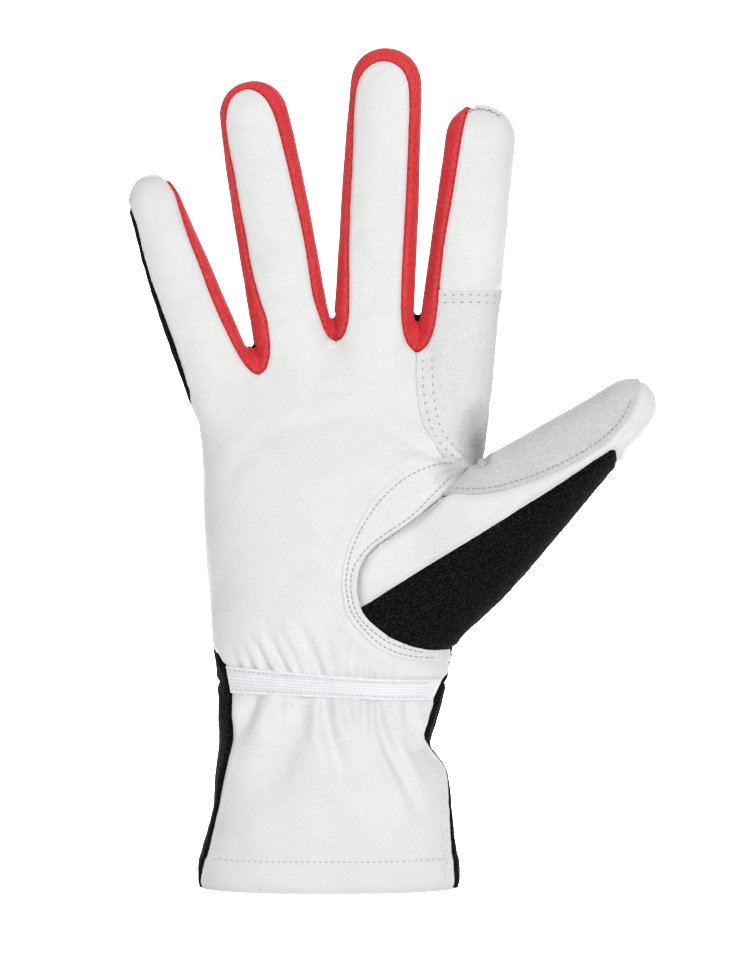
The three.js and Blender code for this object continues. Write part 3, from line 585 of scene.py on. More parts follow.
def region_tests():
    """The cuts in the maker's order: which piece is cut, the piece that comes off, and the test
    that is more than 0 inside it, from a corner's x, y and z in mm."""
    thumb_palm = outline_of(curve(THUMB_SEAM), [(75, 57), (115, 110), (115, 172), (75, 162), (47, 131)])
    thumb_rear = outline_of([(41, 57), (41.5, 87), (43, 100), (45, 113), (47, 127), (47, 131), (75, 162),
                             (115, 172), (115, 110), (75, 57)])
    pad = outline_of(curve(PAD_SEAM), [(92, 172), (70, 162), (46.5, 133), (30, 133)])
    thumb_back = outline_of([(-2, 77)], curve(THUMB_BACK_SEAM, 2), [(110, 112), (75, 50), (-2, 50)])
    leather = outline_of(curve(LEATHER_EDGE, 3), LEATHER_BEYOND_THUMB_SIDE, curve(LEATHER_CUFF_RIGHT, 3),
                         curve(LEATHER_CUFF_LEFT, 3), LEATHER_BEYOND_LITTLE_SIDE, LEATHER_LITTLE_OUTER)
    below = outline_of([(-60, -20), (60, -20)], ELASTIC_BOTTOM[::-1])
    band = outline_of(ELASTIC_BOTTOM, ELASTIC_TOP[::-1])
    gusset = outline_of(curve(GUSSET_SEAM), curve(THUMB_SEAM)[::-1])
    tip = outline_of(INDEX_SEAM, [(70, 250), (26, 250)])
    suede = outline_of(curve(SUEDE_SEAM), [(62, 124), (72, 178), (24, 178)])
    cuff = outline_of([(-60, -20), (60, -20), (60, CUFF_BACK_TOP), (-60, CUFF_BACK_TOP)])
    sides = {
        "little": outline_of(LITTLE_TO_RING, LITTLE_MIDDLE),
        "ring": outline_of(LITTLE_TO_RING, [(-40, 264)], RING_TO_MIDDLE[::-1]),
        "middle": outline_of(RING_TO_MIDDLE, MIDDLE_TO_INDEX[::-1]),
        "index": outline_of(MIDDLE_TO_INDEX[:-1], INDEX_MIDDLE),
    }

    def flat(outline):
        return lambda p: signed_distance(p[:, [0, 2]], outline)

    def forward(p, places):
        total = np.zeros(len(p))
        for x, z, reach, far in places:
            total += far * np.exp(-((p[:, 0] - x) ** 2 + (p[:, 2] - z) ** 2) / reach**2)
        return total

    def before(outline, plane, places):
        def test(p):
            limit = plane[0] - plane[1] * p[:, 2] - forward(p, places)
            return np.minimum(signed_distance(p[:, [0, 2]], outline), limit - p[:, 1])
        return test

    def thumb_test(p):
        palm_side = np.minimum(signed_distance(p[:, [0, 2]], thumb_palm), -p[:, 1])
        return np.maximum(palm_side, signed_distance(p[:, [0, 2]], thumb_rear))

    def thumb_back_test(p):
        rear = THUMB_REAR_Y - forward(p, THUMB_ROOT)
        return np.maximum(signed_distance(p[:, [0, 2]], thumb_back), p[:, 1] - rear)

    walls = [("whole", f"finger_side_{finger}", before(outline, BACK_PLANE, OVER_WEBS))
             for finger, outline in sides.items()]
    return [
        ("whole", "below_hem", lambda p: -p[:, 2]),
        ("whole", "thumb", thumb_test),
        ("whole", "leather_side", before(leather, LEATHER_PLANE, OVER_CROTCH + OVER_EDGE)),
        ("leather_side", "cuff_front", flat(below)),
        ("leather_side", "wrist_elastic", flat(band)),
        ("leather_side", "thumb_gusset", flat(gusset)),
        ("leather_side", "index_tip_panel", flat(tip)),
        ("leather_side", "index_reinforcement", flat(suede)),
        ("whole", "cuff_back", flat(cuff)),
        *walls,
        ("thumb", "thumb_back_panel", thumb_back_test),
        ("thumb", "thumb_pad_patch", flat(pad)),
    ]


LEFT_OVER = {"whole": "back_panel", "leather_side": "palm_panel", "thumb": "thumb_front_panel"}


def cut_faces(verts, tris, labels, label, test, new_label):
    """Cuts the faces of one label exactly along the line where the test is 0."""
    chosen = np.flatnonzero(labels == label)
    used = np.unique(tris[chosen])
    value = np.zeros(len(verts))
    value[used] = test(verts[used])
    value[np.abs(value) < 0.08] = 0
    signs = np.sign(value)[tris[chosen]]
    mixed = (signs.min(1) < 0) & (signs.max(1) > 0)
    plain, split = chosen[~mixed], chosen[mixed]
    total = value[tris[plain]].sum(1)
    labels[plain[total > 0]] = new_label
    t = tris[split]
    s = signs[mixed]
    # Turn each split face so that its first corner is the one alone, or the one on the line.
    zero = (s == 0).any(1)
    lone = np.where(s.sum(1) > 0, -1, 1)
    first = np.where(zero, np.argmax(s == 0, axis=1), np.argmax(s == lone[:, None], axis=1))
    turn = (first[:, None] + np.arange(3)) % 3
    t = np.take_along_axis(t, turn, axis=1)
    known = {}
    new_verts = []

    def middle(a, b):
        key = (a, b) if a < b else (b, a)
        if key not in known:
            share = value[a] / (value[a] - value[b])
            known[key] = len(verts) + len(new_verts)
            new_verts.append(verts[a] + (verts[b] - verts[a]) * share)
        return known[key]

    more, more_labels = [], []

    def put(face, sign):
        more.append(face)
        more_labels.append(new_label if sign > 0 else label)

    for (a, b, c), on_line in zip(t.tolist(), zero):
        if on_line:
            m = middle(b, c)
            put((a, b, m), value[b])
            put((a, m, c), value[c])
        else:
            m, n = middle(a, b), middle(a, c)
            put((a, m, n), value[a])
            put((m, b, c), value[b])
            put((m, c, n), value[b])
    keep = np.ones(len(tris), bool)
    keep[split] = False
    tris = np.vstack([tris[keep], np.array(more, np.int64).reshape(-1, 3)])
    labels = np.concatenate([labels[keep], np.array(more_labels, labels.dtype)])
    if new_verts:
        verts = np.vstack([verts, np.array(new_verts)])
    return verts, tris, labels


def cut_pattern(verts, tris):
    """Labels every face of the skin with the number of its piece, cut along the seam lines."""
    names = ["whole", "below_hem", "leather_side", "thumb"]
    codes = {name: 100 + i for i, name in enumerate(names)}
    codes.update(NUMBERS)
    labels = np.full(len(tris), codes["whole"])
    for source, name, test in region_tests():
        verts, tris, labels = cut_faces(verts, tris, labels, codes[source], test, codes[name])
        if name == "below_hem":
            labels[labels == codes["below_hem"]] = OFF_CUT
    for source, name in LEFT_OVER.items():
        labels[labels == codes[source]] = NUMBERS[name]
    return verts, tris, labels


def fold_depth(p, normals):
    """How far the creases, pleats and gathers push the palm side in, in mm."""
    depth = np.zeros(len(p))
    flat = p[:, [0, 2]]
    facing = smooth_step(-normals[:, 1], 0.1, 0.5)
    for line, width, deep, fade_start, fade_end in FOLDS:
        path = curve(line, 5)
        low, high = path.min(0) - 4 * width - 2, path.max(0) + 4 * width + 2
        near = np.flatnonzero(((flat > low) & (flat < high)).all(1) & (facing > 0))
        if not len(near):
            continue
        d, share, _ = line_distance(flat[near], path)
        fade = np.ones(len(near))
        if fade_start:
            fade *= smooth_step(share, 0, 0.35)
        if fade_end:
            fade *= (1 - smooth_step(share, 0.35, 1.0)) * (0.6 + 0.4 * smooth_step(share, 0, 0.15))
        wide = width * (1 + 0.9 * share if fade_end and not fade_start else 1)
        valley = np.exp(-((d / wide) ** 2))
        ridge = np.exp(-(((d - 2.1 * wide) / wide) ** 2))
        depth[near] += deep * fade * (valley - 0.42 * ridge) * facing[near]
    return DEEPEST * np.tanh(depth / DEEPEST)


def soft_noise(p, size, seed):
    """Even, seeded unevenness from -1 to 1 at a size in mm."""
    shift = Vector((seed * 7.3, seed * 3.1, seed * 5.7))
    return np.array([noise.noise(Vector(v) / size + shift) for v in p.tolist()])


def beside(line, gap):
    """A line moved sideways by a gap in mm, to the left of its direction."""
    path = curve(line, 4)
    along = np.gradient(path, axis=0)
    along /= np.linalg.norm(along, axis=1, keepdims=True)
    return path + np.column_stack([-along[:, 1], along[:, 0]]) * gap


def zigzag(line, width, pitch):
    """Corners of a zigzag along a line."""
    path = resample(curve(line, 6), pitch)
    along = np.gradient(path, axis=0)
    along /= np.linalg.norm(along, axis=1, keepdims=True)
    side = np.where(np.arange(len(path)) % 2 == 0, 0.5, -0.5)[:, None] * width
    return path + np.column_stack([-along[:, 1], along[:, 0]]) * side


def resample(path, pitch):
    """Points at an even spacing along a line."""
    lengths = np.concatenate([[0], np.cumsum(np.linalg.norm(np.diff(path, axis=0), axis=1))])
    count = max(2, int(lengths[-1] / pitch) + 1)
    at = np.linspace(0, lengths[-1], count)
    return np.column_stack([np.interp(at, lengths, path[:, k]) for k in range(path.shape[1])])


# Rows of stitches on the palm side, as x and z.
SUEDE_TOP_ROW = [(32.8, 176.4), (38, 176.5), (45, 176.5), (50.2, 176.4)]
SUEDE_LEFT_ROWS = [
    [(27.4, 158.3), (27.4, 150.9), (28.0, 145.0), (29.1, 139.9), (30.4, 136.0), (32.4, 132.5), (34.6, 130.2),
     (36.9, 128.3), (39.5, 127.1)],
    [(30.1, 158.3), (30.3, 150.9), (30.8, 145.0), (31.8, 139.9), (33.2, 136.0), (35.4, 132.9), (38.2, 129.8),
     (40.6, 127.9), (42.6, 126.8)],
]
GUSSET_ROWS = [
    [(36.4, 126.5), (31.0, 126.0), (22.3, 122.2), (14.7, 115.4), (9.7, 108.1), (6.1, 100.2), (4.7, 92.4),
     (5.0, 87.7), (6.7, 81.8), (13.5, 74.1), (19.1, 70.9), (24.4, 69.4), (31, 68.8)],
    [(36.5, 123.4), (31.0, 117.9), (23.9, 110.9), (16.7, 106.0), (11.1, 101.7), (7.2, 96.5), (6.1, 91.8),
     (6.5, 86.6), (8.9, 80.6), (16.0, 74.4), (22.0, 71.8), (27.5, 70.4)],
]
HEM_ROW = [(-35.2, 9.3), (-20, 9.3), (0, 9.3), (20, 9.3), (34.8, 9.4)]
CUFF_ZIGZAG = [(32.9, 34.0), (33.5, 26), (33.7, 17.8), (33.8, 10), (33.5, 3.0)]
OVERCAST_ROW = [(40.6, 230.6), (43.4, 231.6), (46.0, 231.5), (48.6, 230.6), (50.2, 229.5)]


def stitch_rows():
    """Path, spacing, thread and share of the spacing that shows as thread."""
    lower = [(x, z - 2.2) for x, z in SUEDE_TOP_ROW]
    rows = [(curve(line), 2.4, "dotted", 0.12) for line in (SUEDE_TOP_ROW, lower, *SUEDE_LEFT_ROWS)]
    rows.append((beside(PAD_SEAM[1:-2], 1.5), 1.6, "pale", 0.44))
    rows += [(curve(line), 1.6, "white", 0.44) for line in GUSSET_ROWS]
    rows.append((curve(HEM_ROW), 1.75, "hem", 0.46))
    return rows


# The skin and its finished outer sides, passed from one operator to the next.
pattern = {}


def stitch_groove(p, normals):
    """The shallow line that each row of stitches pulls into the palm side."""
    depth = np.zeros(len(p))
    flat = p[:, [0, 2]]
    for path, _, _, _ in stitch_rows():
        low, high = path.min(0) - 3, path.max(0) + 3
        near = np.flatnonzero(((flat > low) & (flat < high)).all(1) & (normals[:, 1] < -0.15))
        d, _, _ = line_distance(flat[near], path)
        depth[near] += 0.22 * np.exp(-((d / 0.75) ** 2))
    return depth


def find_seams(verts, tris, labels):
    """For every piece, points along its edges and the number of the piece on the other side."""
    edges = np.vstack([tris[:, [0, 1]], tris[:, [1, 2]], tris[:, [2, 0]]])
    owner = np.tile(labels, 3)
    ends = np.sort(edges, axis=1)
    keys = np.column_stack([ends, owner])
    _, index, count = np.unique(keys, axis=0, return_index=True, return_counts=True)
    rim = index[count == 1]
    middles = verts[edges[rim]].mean(1)
    owners = owner[rim]
    tree = kdtree.KDTree(len(middles))
    for i, point in enumerate(middles.tolist()):
        tree.insert(point, i)
    tree.balance()
    seams = {}
    for i, point in enumerate(middles.tolist()):
        other = -1
        for _, j, distance in tree.find_n(point, 8):
            if owners[j] != owners[i] and distance < 1.5:
                other = int(owners[j])
                break
        if other < 0:
            continue
        a, b = verts[edges[rim[i]]]
        seams.setdefault(int(owners[i]), {}).setdefault(other, []).extend([a, middles[i], b])
    return seams


def seam_profile(name, other):
    """How the edge of a piece lies beside its neighbour."""
    mine = (name, PIECES[name][0])
    theirs = (other, PIECES[other][0])
    for piece, neighbour, *shape in SEAMS:
        if piece in mine and neighbour in theirs:
            return shape
    return PLAIN_SEAM


def seam_rise(name, p, depth_share):
    """How far a piece's corners stand up or dive beside its seams, in mm."""
    names = {number: key for key, number in NUMBERS.items()}
    rise = np.zeros(len(p))
    for other, points in pattern["seams"].get(NUMBERS[name], {}).items():
        if other == OFF_CUT:
            continue
        edge, width, swell, swell_at = seam_profile(name, names[other])
        tree = kdtree.KDTree(len(points))
        for i, point in enumerate(points):
            tree.insert(point, i)
        tree.balance()
        low, high = np.min(points, 0) - 6, np.max(points, 0) + 6
        near = np.flatnonzero(((p > low) & (p < high)).all(1))
        d = np.array([tree.find(v)[2] for v in p[near].tolist()])
        rise[near] += edge * depth_share * np.exp(-((d / width) ** 2))
        rise[near] += swell * np.exp(-(((d - swell_at) / max(width, 0.9)) ** 2))
    return np.clip(rise, -1.9, 0.8)


def hem_rise(p):
    """The turned-up hem stands a little proud and rounds over at the opening."""
    z = p[:, 2]
    band = 0.3 * (1 - smooth_step(z, 8.3, 9.9))
    lip = -0.55 * np.exp(-((z / 1.1) ** 2))
    return band + lip


def new_object(name, verts, faces, material):
    """A piece in the scene from points in mm."""
    mesh = bpy.data.meshes.new(name)
    mesh.from_pydata([tuple(v) for v in (np.asarray(verts) * MM).tolist()], [], [tuple(f) for f in faces])
    mesh.validate()
    made = bpy.data.objects.new(name, mesh)
    bpy.context.collection.objects.link(made)
    mesh.materials.append(material)
    return made


def make_panel(node, material, wall, depth_share):
    """One piece of the pattern: its edges turned in at the seams, given its thickness."""
    verts, tris, labels, normals = (pattern[key] for key in ("verts", "tris", "labels", "normals"))
    chosen = tris[labels == NUMBERS[node]]
    if not len(chosen):
        raise RuntimeError(f"nothing of {node} was cut from the skin")
    used, faces = np.unique(chosen, return_inverse=True)
    faces = faces.reshape(-1, 3)
    p = verts[used].copy()
    n = normals[used]
    rise = seam_rise(node, p, depth_share)
    if node.startswith("cuff"):
        rise += hem_rise(p)
    if PIECES[node][0] == "black":
        rise += 0.16 * soft_noise(p, 3.2, 4)
    p += n * rise[:, None]
    pattern["outer"][node] = (p, faces)
    name = node.replace("_panel", "").replace("finger_side", "side_wall") + "_shell"
    piece = new_object(name, p, faces, material)
    deselect()
    piece.select_set(True)
    apply_modifier(piece, "SOLIDIFY", thickness=wall * MM, offset=-1, use_rim=True, use_quality_normals=True)
    bpy.ops.object.shade_smooth_by_angle(angle=math.radians(48))
    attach(piece, "root")
    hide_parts(node)
    return piece


def linear(hex_colour):
    """An sRGB hex colour as linear values."""
    out = []
    for i in (0, 2, 4):
        value = int(hex_colour[i:i + 2], 16) / 255
        out.append(value / 12.92 if value <= 0.04045 else ((value + 0.055) / 1.055) ** 2.4)
    return (*out, 1.0)


def add_node(tree, kind, inputs=None, **settings):
    """A node with its settings, its values and its links."""
    node = tree.nodes.new(kind)
    for key, value in settings.items():
        setattr(node, key, value)
    for key, value in (inputs or {}).items():
        if isinstance(value, bpy.types.NodeSocket):
            tree.links.new(value, node.inputs[key])
        else:
            node.inputs[key].default_value = value
    return node


def new_material(name):
    material = bpy.data.materials.new(name)
    material.use_nodes = True
    material.node_tree.nodes.clear()
    return material, material.node_tree


def finish_material(tree, colour, roughness, normal, **constants):
    """The surface shader at the end of every finish."""
    shader = add_node(tree, "ShaderNodeBsdfPrincipled")
    for key, value in (("Base Color", colour), ("Roughness", roughness), ("Normal", normal)):
        if isinstance(value, bpy.types.NodeSocket):
            tree.links.new(value, shader.inputs[key])
        elif value is not None:
            shader.inputs[key].default_value = value
    for key, value in constants.items():
        shader.inputs[key.replace("_", " ")].default_value = value
    add_node(tree, "ShaderNodeOutputMaterial", {"Surface": shader.outputs["BSDF"]})


def mixed(tree, share, first, second):
    """Two colours mixed by a pattern."""
    node = add_node(tree, "ShaderNodeMix", data_type="RGBA")
    for socket, value in ((node.inputs[0], share), (node.inputs[6], first), (node.inputs[7], second)):
        if isinstance(value, bpy.types.NodeSocket):
            tree.links.new(value, socket)
        else:
            socket.default_value = value
    return node.outputs[2]


def ranged(tree, value, low, high, to_low=0.0, to_high=1.0):
    """A pattern's values stretched from one range to another."""
    node = add_node(tree, "ShaderNodeMapRange", {
        "Value": value, "From Min": low, "From Max": high, "To Min": to_low, "To Max": to_high,
    })
    return node.outputs["Result"]


def combined(tree, operation, first, second):
    node = add_node(tree, "ShaderNodeMath", operation=operation)
    for socket, value in zip(node.inputs, (first, second)):
        if isinstance(value, bpy.types.NodeSocket):
            tree.links.new(value, socket)
        else:
            socket.default_value = value
    return node.outputs[0]


def noise_at(tree, place, size_mm, detail=2.0, roughness=0.5):
    node = add_node(tree, "ShaderNodeTexNoise", {
        "Vector": place, "Scale": 1000 / size_mm, "Detail": detail, "Roughness": roughness,
    })
    return node.outputs["Fac"]


def bands_at(tree, place, period_mm, direction, distortion=0.0):
    """Even stripes of a real width."""
    node = add_node(tree, "ShaderNodeTexWave", {
        "Vector": place, "Scale": math.pi / 10 / (period_mm * MM), "Distortion": distortion, "Detail": 1.0,
    }, bands_direction=direction)
    return node.outputs["Fac"]


def bumped(tree, height, depth_mm, normal=None):
    inputs = {"Height": height, "Strength": 1.0, "Distance": depth_mm * MM}
    if normal is not None:
        inputs["Normal"] = normal
    return add_node(tree, "ShaderNodeBump", inputs).outputs["Normal"]


def painted_crotch_shade(tree, place, uneven, middle, reach, strongest):
    """Painted shade: leather and suede are darkened towards the fold at the thumb's crotch, the darkest place
    of the palm side, where shade falls.
    """
    centred = add_node(tree, "ShaderNodeMapping", {
        "Vector": place,
        "Location": [-m / r for m, r in zip(middle, reach)],
        "Scale": [1000 / r for r in reach],
    }).outputs["Vector"]
    far = add_node(tree, "ShaderNodeVectorMath", {0: centred}, operation="LENGTH").outputs["Value"]
    far = combined(tree, "ADD", far, ranged(tree, uneven, 0.3, 0.7, -0.12, 0.12))
    return ranged(tree, far, 0.1, 1.0, strongest, 0.0)


def goat_leather(colours):
    """White aniline goat leather: a fine pebbled grain, faint cool cloudiness, a dull soft sheen."""
    material, tree = new_material("white goat leather")
    place = add_node(tree, "ShaderNodeTexCoord").outputs["Object"]
    cells = add_node(tree, "ShaderNodeTexVoronoi", {"Vector": place, "Scale": 1000 / 1.1},
                     feature="SMOOTH_F1")
    fine = noise_at(tree, place, 0.7, 3.0)
    broad = noise_at(tree, place, 16, 3.0, 0.6)
    cloud = ranged(tree, broad, 0.3, 0.7)
    base = mixed(tree, cloud, tuple(colours.leather), tuple(colours.leather_shade))
    mottle = ranged(tree, noise_at(tree, place, 1.1, 4.0, 0.7), 0.42, 0.66, 0.0, 0.16)
    base = mixed(tree, mottle, base, linear("CFCFD0"))
    # Painted shade: the leather darkens towards the fold at the thumb's crotch, where shade falls.
    crotch_darkening = painted_crotch_shade(tree, place, fine, (39, -13, 124), (11, 14, 7.5), 0.6)
    base = mixed(tree, crotch_darkening, base, linear("8E8E8E"))
    grain = combined(tree, "ADD", cells.outputs["Distance"], fine)
    rough = ranged(tree, broad, 0.2, 0.8, 0.5, 0.66)
    normal = bumped(tree, grain, 0.1)
    normal = bumped(tree, noise_at(tree, place, 5.5, 3.0), 0.26, normal)
    finish_material(tree, base, rough, normal, IOR=1.45)
    return material


def suede(name, light, shade):
    """Grey-white suede: napped, quite matt, with short brushed fibres and small pits."""
    material, tree = new_material(name)
    place = add_node(tree, "ShaderNodeTexCoord").outputs["Object"]
    nap = noise_at(tree, place, 0.75, 4.0, 0.75)
    pits = noise_at(tree, place, 1.9, 2.0)
    cloud = noise_at(tree, place, 9, 3.0)
    base = mixed(tree, ranged(tree, nap, 0.38, 0.62), shade, light)
    base = mixed(tree, ranged(tree, cloud, 0.35, 0.75, 0.0, 0.35), base, shade)
    # Painted shade: the suede darkens towards the fold at the thumb's crotch, where shade falls.
    crotch_darkening = painted_crotch_shade(tree, place, nap, (44, -6, 131), (7, 14, 15.5), 0.9)
    base = mixed(tree, crotch_darkening, base, linear("80807D"))
    normal = bumped(tree, combined(tree, "ADD", nap, pits), 0.16)
    finish_material(tree, base, 0.95, normal, IOR=1.4, Sheen_Weight=0.25, Sheen_Roughness=0.6)
    return material


def red_knit(colours):
    """Red polyester-elastane knit: a tight, even face with a soft bloom at grazing angles."""
    material, tree = new_material("red stretch knit")
    place = add_node(tree, "ShaderNodeTexCoord").outputs["Object"]
    # A real knit has loops of 0.3 mm; drawn at 0.7 mm so that they show.
    stretched = add_node(tree, "ShaderNodeMapping", {"Vector": place, "Scale": (1.0, 1.0, 0.6)})
    stretched = stretched.outputs["Vector"]
    loops = add_node(tree, "ShaderNodeTexVoronoi", {"Vector": stretched, "Scale": 1000 / 0.7})
    loops = loops.outputs["Distance"]
    cloud = noise_at(tree, place, 9, 3.0)
    base = mixed(tree, ranged(tree, cloud, 0.3, 0.7, 0.0, 0.6), tuple(colours.red), tuple(colours.red_shade))
    base = mixed(tree, ranged(tree, loops, 0.3, 0.8, 0.0, 0.4), base, linear("A81A22"))
    normal = bumped(tree, combined(tree, "SUBTRACT", noise_at(tree, place, 0.8, 3.0), loops), 0.1)
    finish_material(tree, base, 0.8, normal, IOR=1.45, Specular_IOR_Level=0.25, Sheen_Weight=0.06)
    return material


def black_knit(colours):
    """Black brushed stretch jersey: a deep matt black of small loops, some catching the light."""
    material, tree = new_material("black brushed stretch knit")
    place = add_node(tree, "ShaderNodeTexCoord").outputs["Object"]
    slant = add_node(tree, "ShaderNodeMapping", {
        "Vector": place, "Rotation": (math.radians(24), math.radians(37), math.radians(16)),
    }).outputs["Vector"]
    # The real loops are 0.4 mm; drawn at 0.62 mm so that they show.
    loops = add_node(tree, "ShaderNodeTexVoronoi", {
        "Vector": slant, "Scale": 1000 / 0.62, "Randomness": 0.72,
    })
    dots = ranged(tree, loops.outputs["Distance"], 0.1, 0.7, 1.0, 0.0)
    fuzz = noise_at(tree, place, 0.9, 4.0, 0.75)
    light = ranged(tree, combined(tree, "MULTIPLY", dots, fuzz), 0.15, 0.6)
    base = mixed(tree, light, tuple(colours.black), linear("323432"))
    normal = bumped(tree, combined(tree, "ADD", dots, fuzz), 0.12)
    finish_material(tree, base, 0.95, normal, IOR=1.4, Specular_IOR_Level=0.08)
    return material


def woven_elastic(colours):
    """White knitted elastic tape: ribs along it of 1 mm with faintly violet channels between them."""
    material, tree = new_material("white knitted elastic")
    tape = add_node(tree, "ShaderNodeUVMap", uv_map="cloth").outputs["UV"]
    place = add_node(tree, "ShaderNodeTexCoord").outputs["Object"]
    ribs = bands_at(tree, tape, 1.0, "Y")
    threads = bands_at(tree, tape, 0.8, "X", 0.4)
    base = mixed(tree, ranged(tree, ribs, 0.0, 0.5, 0.4, 0.0), tuple(colours.elastic), linear("C9CCD8"))
    normal = bumped(tree, combined(tree, "ADD", threads, noise_at(tree, place, 0.5)), 0.03)
    finish_material(tree, base, 0.5, normal, IOR=1.5)
    return material


def sewing_thread(name, colour):
    """Polyester sewing thread: plain colour with the twist of its plies."""
    material, tree = new_material(name)
    place = add_node(tree, "ShaderNodeTexCoord").outputs["Object"]
    twist = noise_at(tree, place, 0.3, 2.0)
    base = mixed(tree, ranged(tree, twist, 0.3, 0.7, 0.0, 0.25), colour, linear("8C8C8E"))
    finish_material(tree, base, 0.6, bumped(tree, twist, 0.05), IOR=1.5)
    return material


def painted_needle_shade(name, dark, light):
    """Painted shadow of a needle hole: dark, no shine, a little uneven."""
    material, tree = new_material(name)
    place = add_node(tree, "ShaderNodeTexCoord").outputs["Object"]
    base = mixed(tree, noise_at(tree, place, 0.4), linear(dark), linear(light))
    finish_material(tree, base, 0.95, None)
    return material


def backdrop_paint():
    """Matt white studio paper: even, with the faintest tooth."""
    material, tree = new_material("matt white paper")
    place = add_node(tree, "ShaderNodeTexCoord").outputs["Object"]
    base = mixed(tree, noise_at(tree, place, 40), linear("FAFAFA"), linear("FCFCFC"))
    finish_material(tree, base, 0.95, None)
    return material


def surface_tree():
    """The outside of the finished panels, to lay thread on."""
    points, faces, start = [], [], 0
    for p, f in pattern["outer"].values():
        points.append(p)
        faces.append(f + start)
        start += len(p)
    points = np.vstack(points)
    return bvhtree.BVHTree.FromPolygons(points.tolist(), np.vstack(faces).tolist())


def laid(tree, x, z):
    """The place on the palm side at an x and z, and the way out of it."""
    place, normal, _, _ = tree.ray_cast(Vector((x, BEFORE_PALM, z)), Vector((0, 1, 0)))
    if place is None:
        return None
    if normal.y > 0:
        normal = -normal
    return np.array(place), np.array(normal)


HOLE_RADIUS = 0.19


def stitch_mesh(tree, path, pitch, share, radius, proud):
    """Short bowed threads along a path, and dark lenses of painted shadow for the needle holes at their ends.
    """
    verts, faces, holes, hole_faces = [], [], [], []
    points = resample(path, pitch)
    sides, stations = 6, 5
    for a, b in zip(points[:-1], points[1:]):
        middle, half = (a + b) / 2, (b - a) / 2 * share
        ends = [laid(tree, *(middle + half * t)) for t in (-1, 0, 1)]
        if any(end is None for end in ends):
            continue
        (p0, n0), (p1, n1), (p2, n2) = ends
        along = p2 - p0
        if np.linalg.norm(along) > 2.5 * pitch:
            continue
        along /= max(np.linalg.norm(along), 1e-9)
        across = np.cross(along, n1)
        across /= max(np.linalg.norm(across), 1e-9)
        up = np.cross(across, along)
        start = len(verts)
        for k in range(stations):
            t = k / (stations - 1)
            centre = (1 - t) ** 2 * p0 + 2 * t * (1 - t) * (2 * p1 - (p0 + p2) / 2) + t * t * p2
            swell = math.sin(math.pi * t)
            centre = centre + up * (proud * (swell - 0.35))
            r = radius * (0.55 + 0.45 * swell)
            for i in range(sides):
                turn = 2 * math.pi * i / sides
                verts.append(centre + across * (r * math.cos(turn)) + up * (r * math.sin(turn)))
        for k in range(stations - 1):
            for i in range(sides):
                j = (i + 1) % sides
                faces.append((start + k * sides + i, start + k * sides + j,
                              start + (k + 1) * sides + j, start + (k + 1) * sides + i))
        faces.append(tuple(start + i for i in reversed(range(sides))))
        faces.append(tuple(start + (stations - 1) * sides + i for i in range(sides)))
        # Each needle hole is a dark lens of painted shadow, just proud of the surface.
        for place, normal in ((p0 - along * 0.05, n0), (p2 + along * 0.05, n2)):
            side = np.cross(normal, along)
            first = len(holes)
            for i in range(sides):
                turn = 2 * math.pi * i / sides
                holes.append(place + (along * math.cos(turn) + side * math.sin(turn)) * HOLE_RADIUS)
            holes += [place + normal * 0.08, place - normal * 0.08]
            outer, inner = first + sides, first + sides + 1
            for i in range(sides):
                j = (i + 1) % sides
                hole_faces += [(first + i, first + j, outer), (first + j, first + i, inner)]
    return verts, faces, holes, hole_faces


def thread_piece(name, rows, material, shade_material_for_holes, radius=0.2, proud=0.22):
    """All rows of one thread as one piece, and the painted shadows of their needle holes as another."""
    tree = pattern["tree"]
    verts, faces, holes, hole_faces = [], [], [], []
    for path, pitch, share in rows:
        v, f, h, hf = stitch_mesh(tree, path, pitch, share, radius, proud)
        faces += [tuple(i + len(verts) for i in face) for face in f]
        verts += v
        hole_faces += [tuple(i + len(holes) for i in face) for face in hf]
        holes += h
    if not verts:
        raise RuntimeError(f"no stitches could be laid for {name}")
    thread = new_object(name, verts, faces, material)
    deselect()
    thread.select_set(True)
    bpy.context.view_layer.objects.active = thread
    bpy.ops.object.mode_set(mode="EDIT")
    bpy.ops.mesh.select_all(action="SELECT")
    bpy.ops.mesh.normals_make_consistent(inside=False)
    bpy.ops.object.mode_set(mode="OBJECT")
    bpy.ops.object.shade_smooth_by_angle(angle=math.radians(60))
    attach(thread, "root")
    if shade_material_for_holes is not None:
        hole_shadow_marks = new_object(name + "_holes", holes, hole_faces, shade_material_for_holes)
        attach(hole_shadow_marks, "root")


class GloveSizes(bpy.types.PropertyGroup):
    """Sizes that a maker would change."""

    fineness: bpy.props.FloatProperty(
        name="Fineness", description="Spacing of the skin's mesh before it is cut",
        default=0.00072, min=0.0006, max=0.003, subtype="DISTANCE", unit="LENGTH")
    leather_wall: bpy.props.FloatProperty(
        name="Leather", description="Thickness of the leather with its lining",
        default=0.0011, min=0.0005, max=0.003, subtype="DISTANCE", unit="LENGTH")
    stretch_wall: bpy.props.FloatProperty(
        name="Stretch cloth", description="Thickness of the stretch cloth with its lining",
        default=0.0012, min=0.0005, max=0.003, subtype="DISTANCE", unit="LENGTH")
    seam_depth: bpy.props.FloatProperty(
        name="Seam depth", description="How far the turned edges dive beside a seam, 1 is as sewn",
        default=1.0, min=0.0, max=2.0, subtype="FACTOR")
    fold_depth: bpy.props.FloatProperty(
        name="Fold depth", description="Depth of the gathers and creases, 1 is as worn",
        default=1.0, min=0.0, max=2.0, subtype="FACTOR")
    thread: bpy.props.FloatProperty(
        name="Thread", description="Radius of the sewing thread",
        default=0.00022, min=0.0001, max=0.001, subtype="DISTANCE", unit="LENGTH")


def colour_property(name, description, hex_colour):
    return bpy.props.FloatVectorProperty(
        name=name, description=description, default=linear(hex_colour),
        subtype="COLOR", size=4, min=0, max=1)


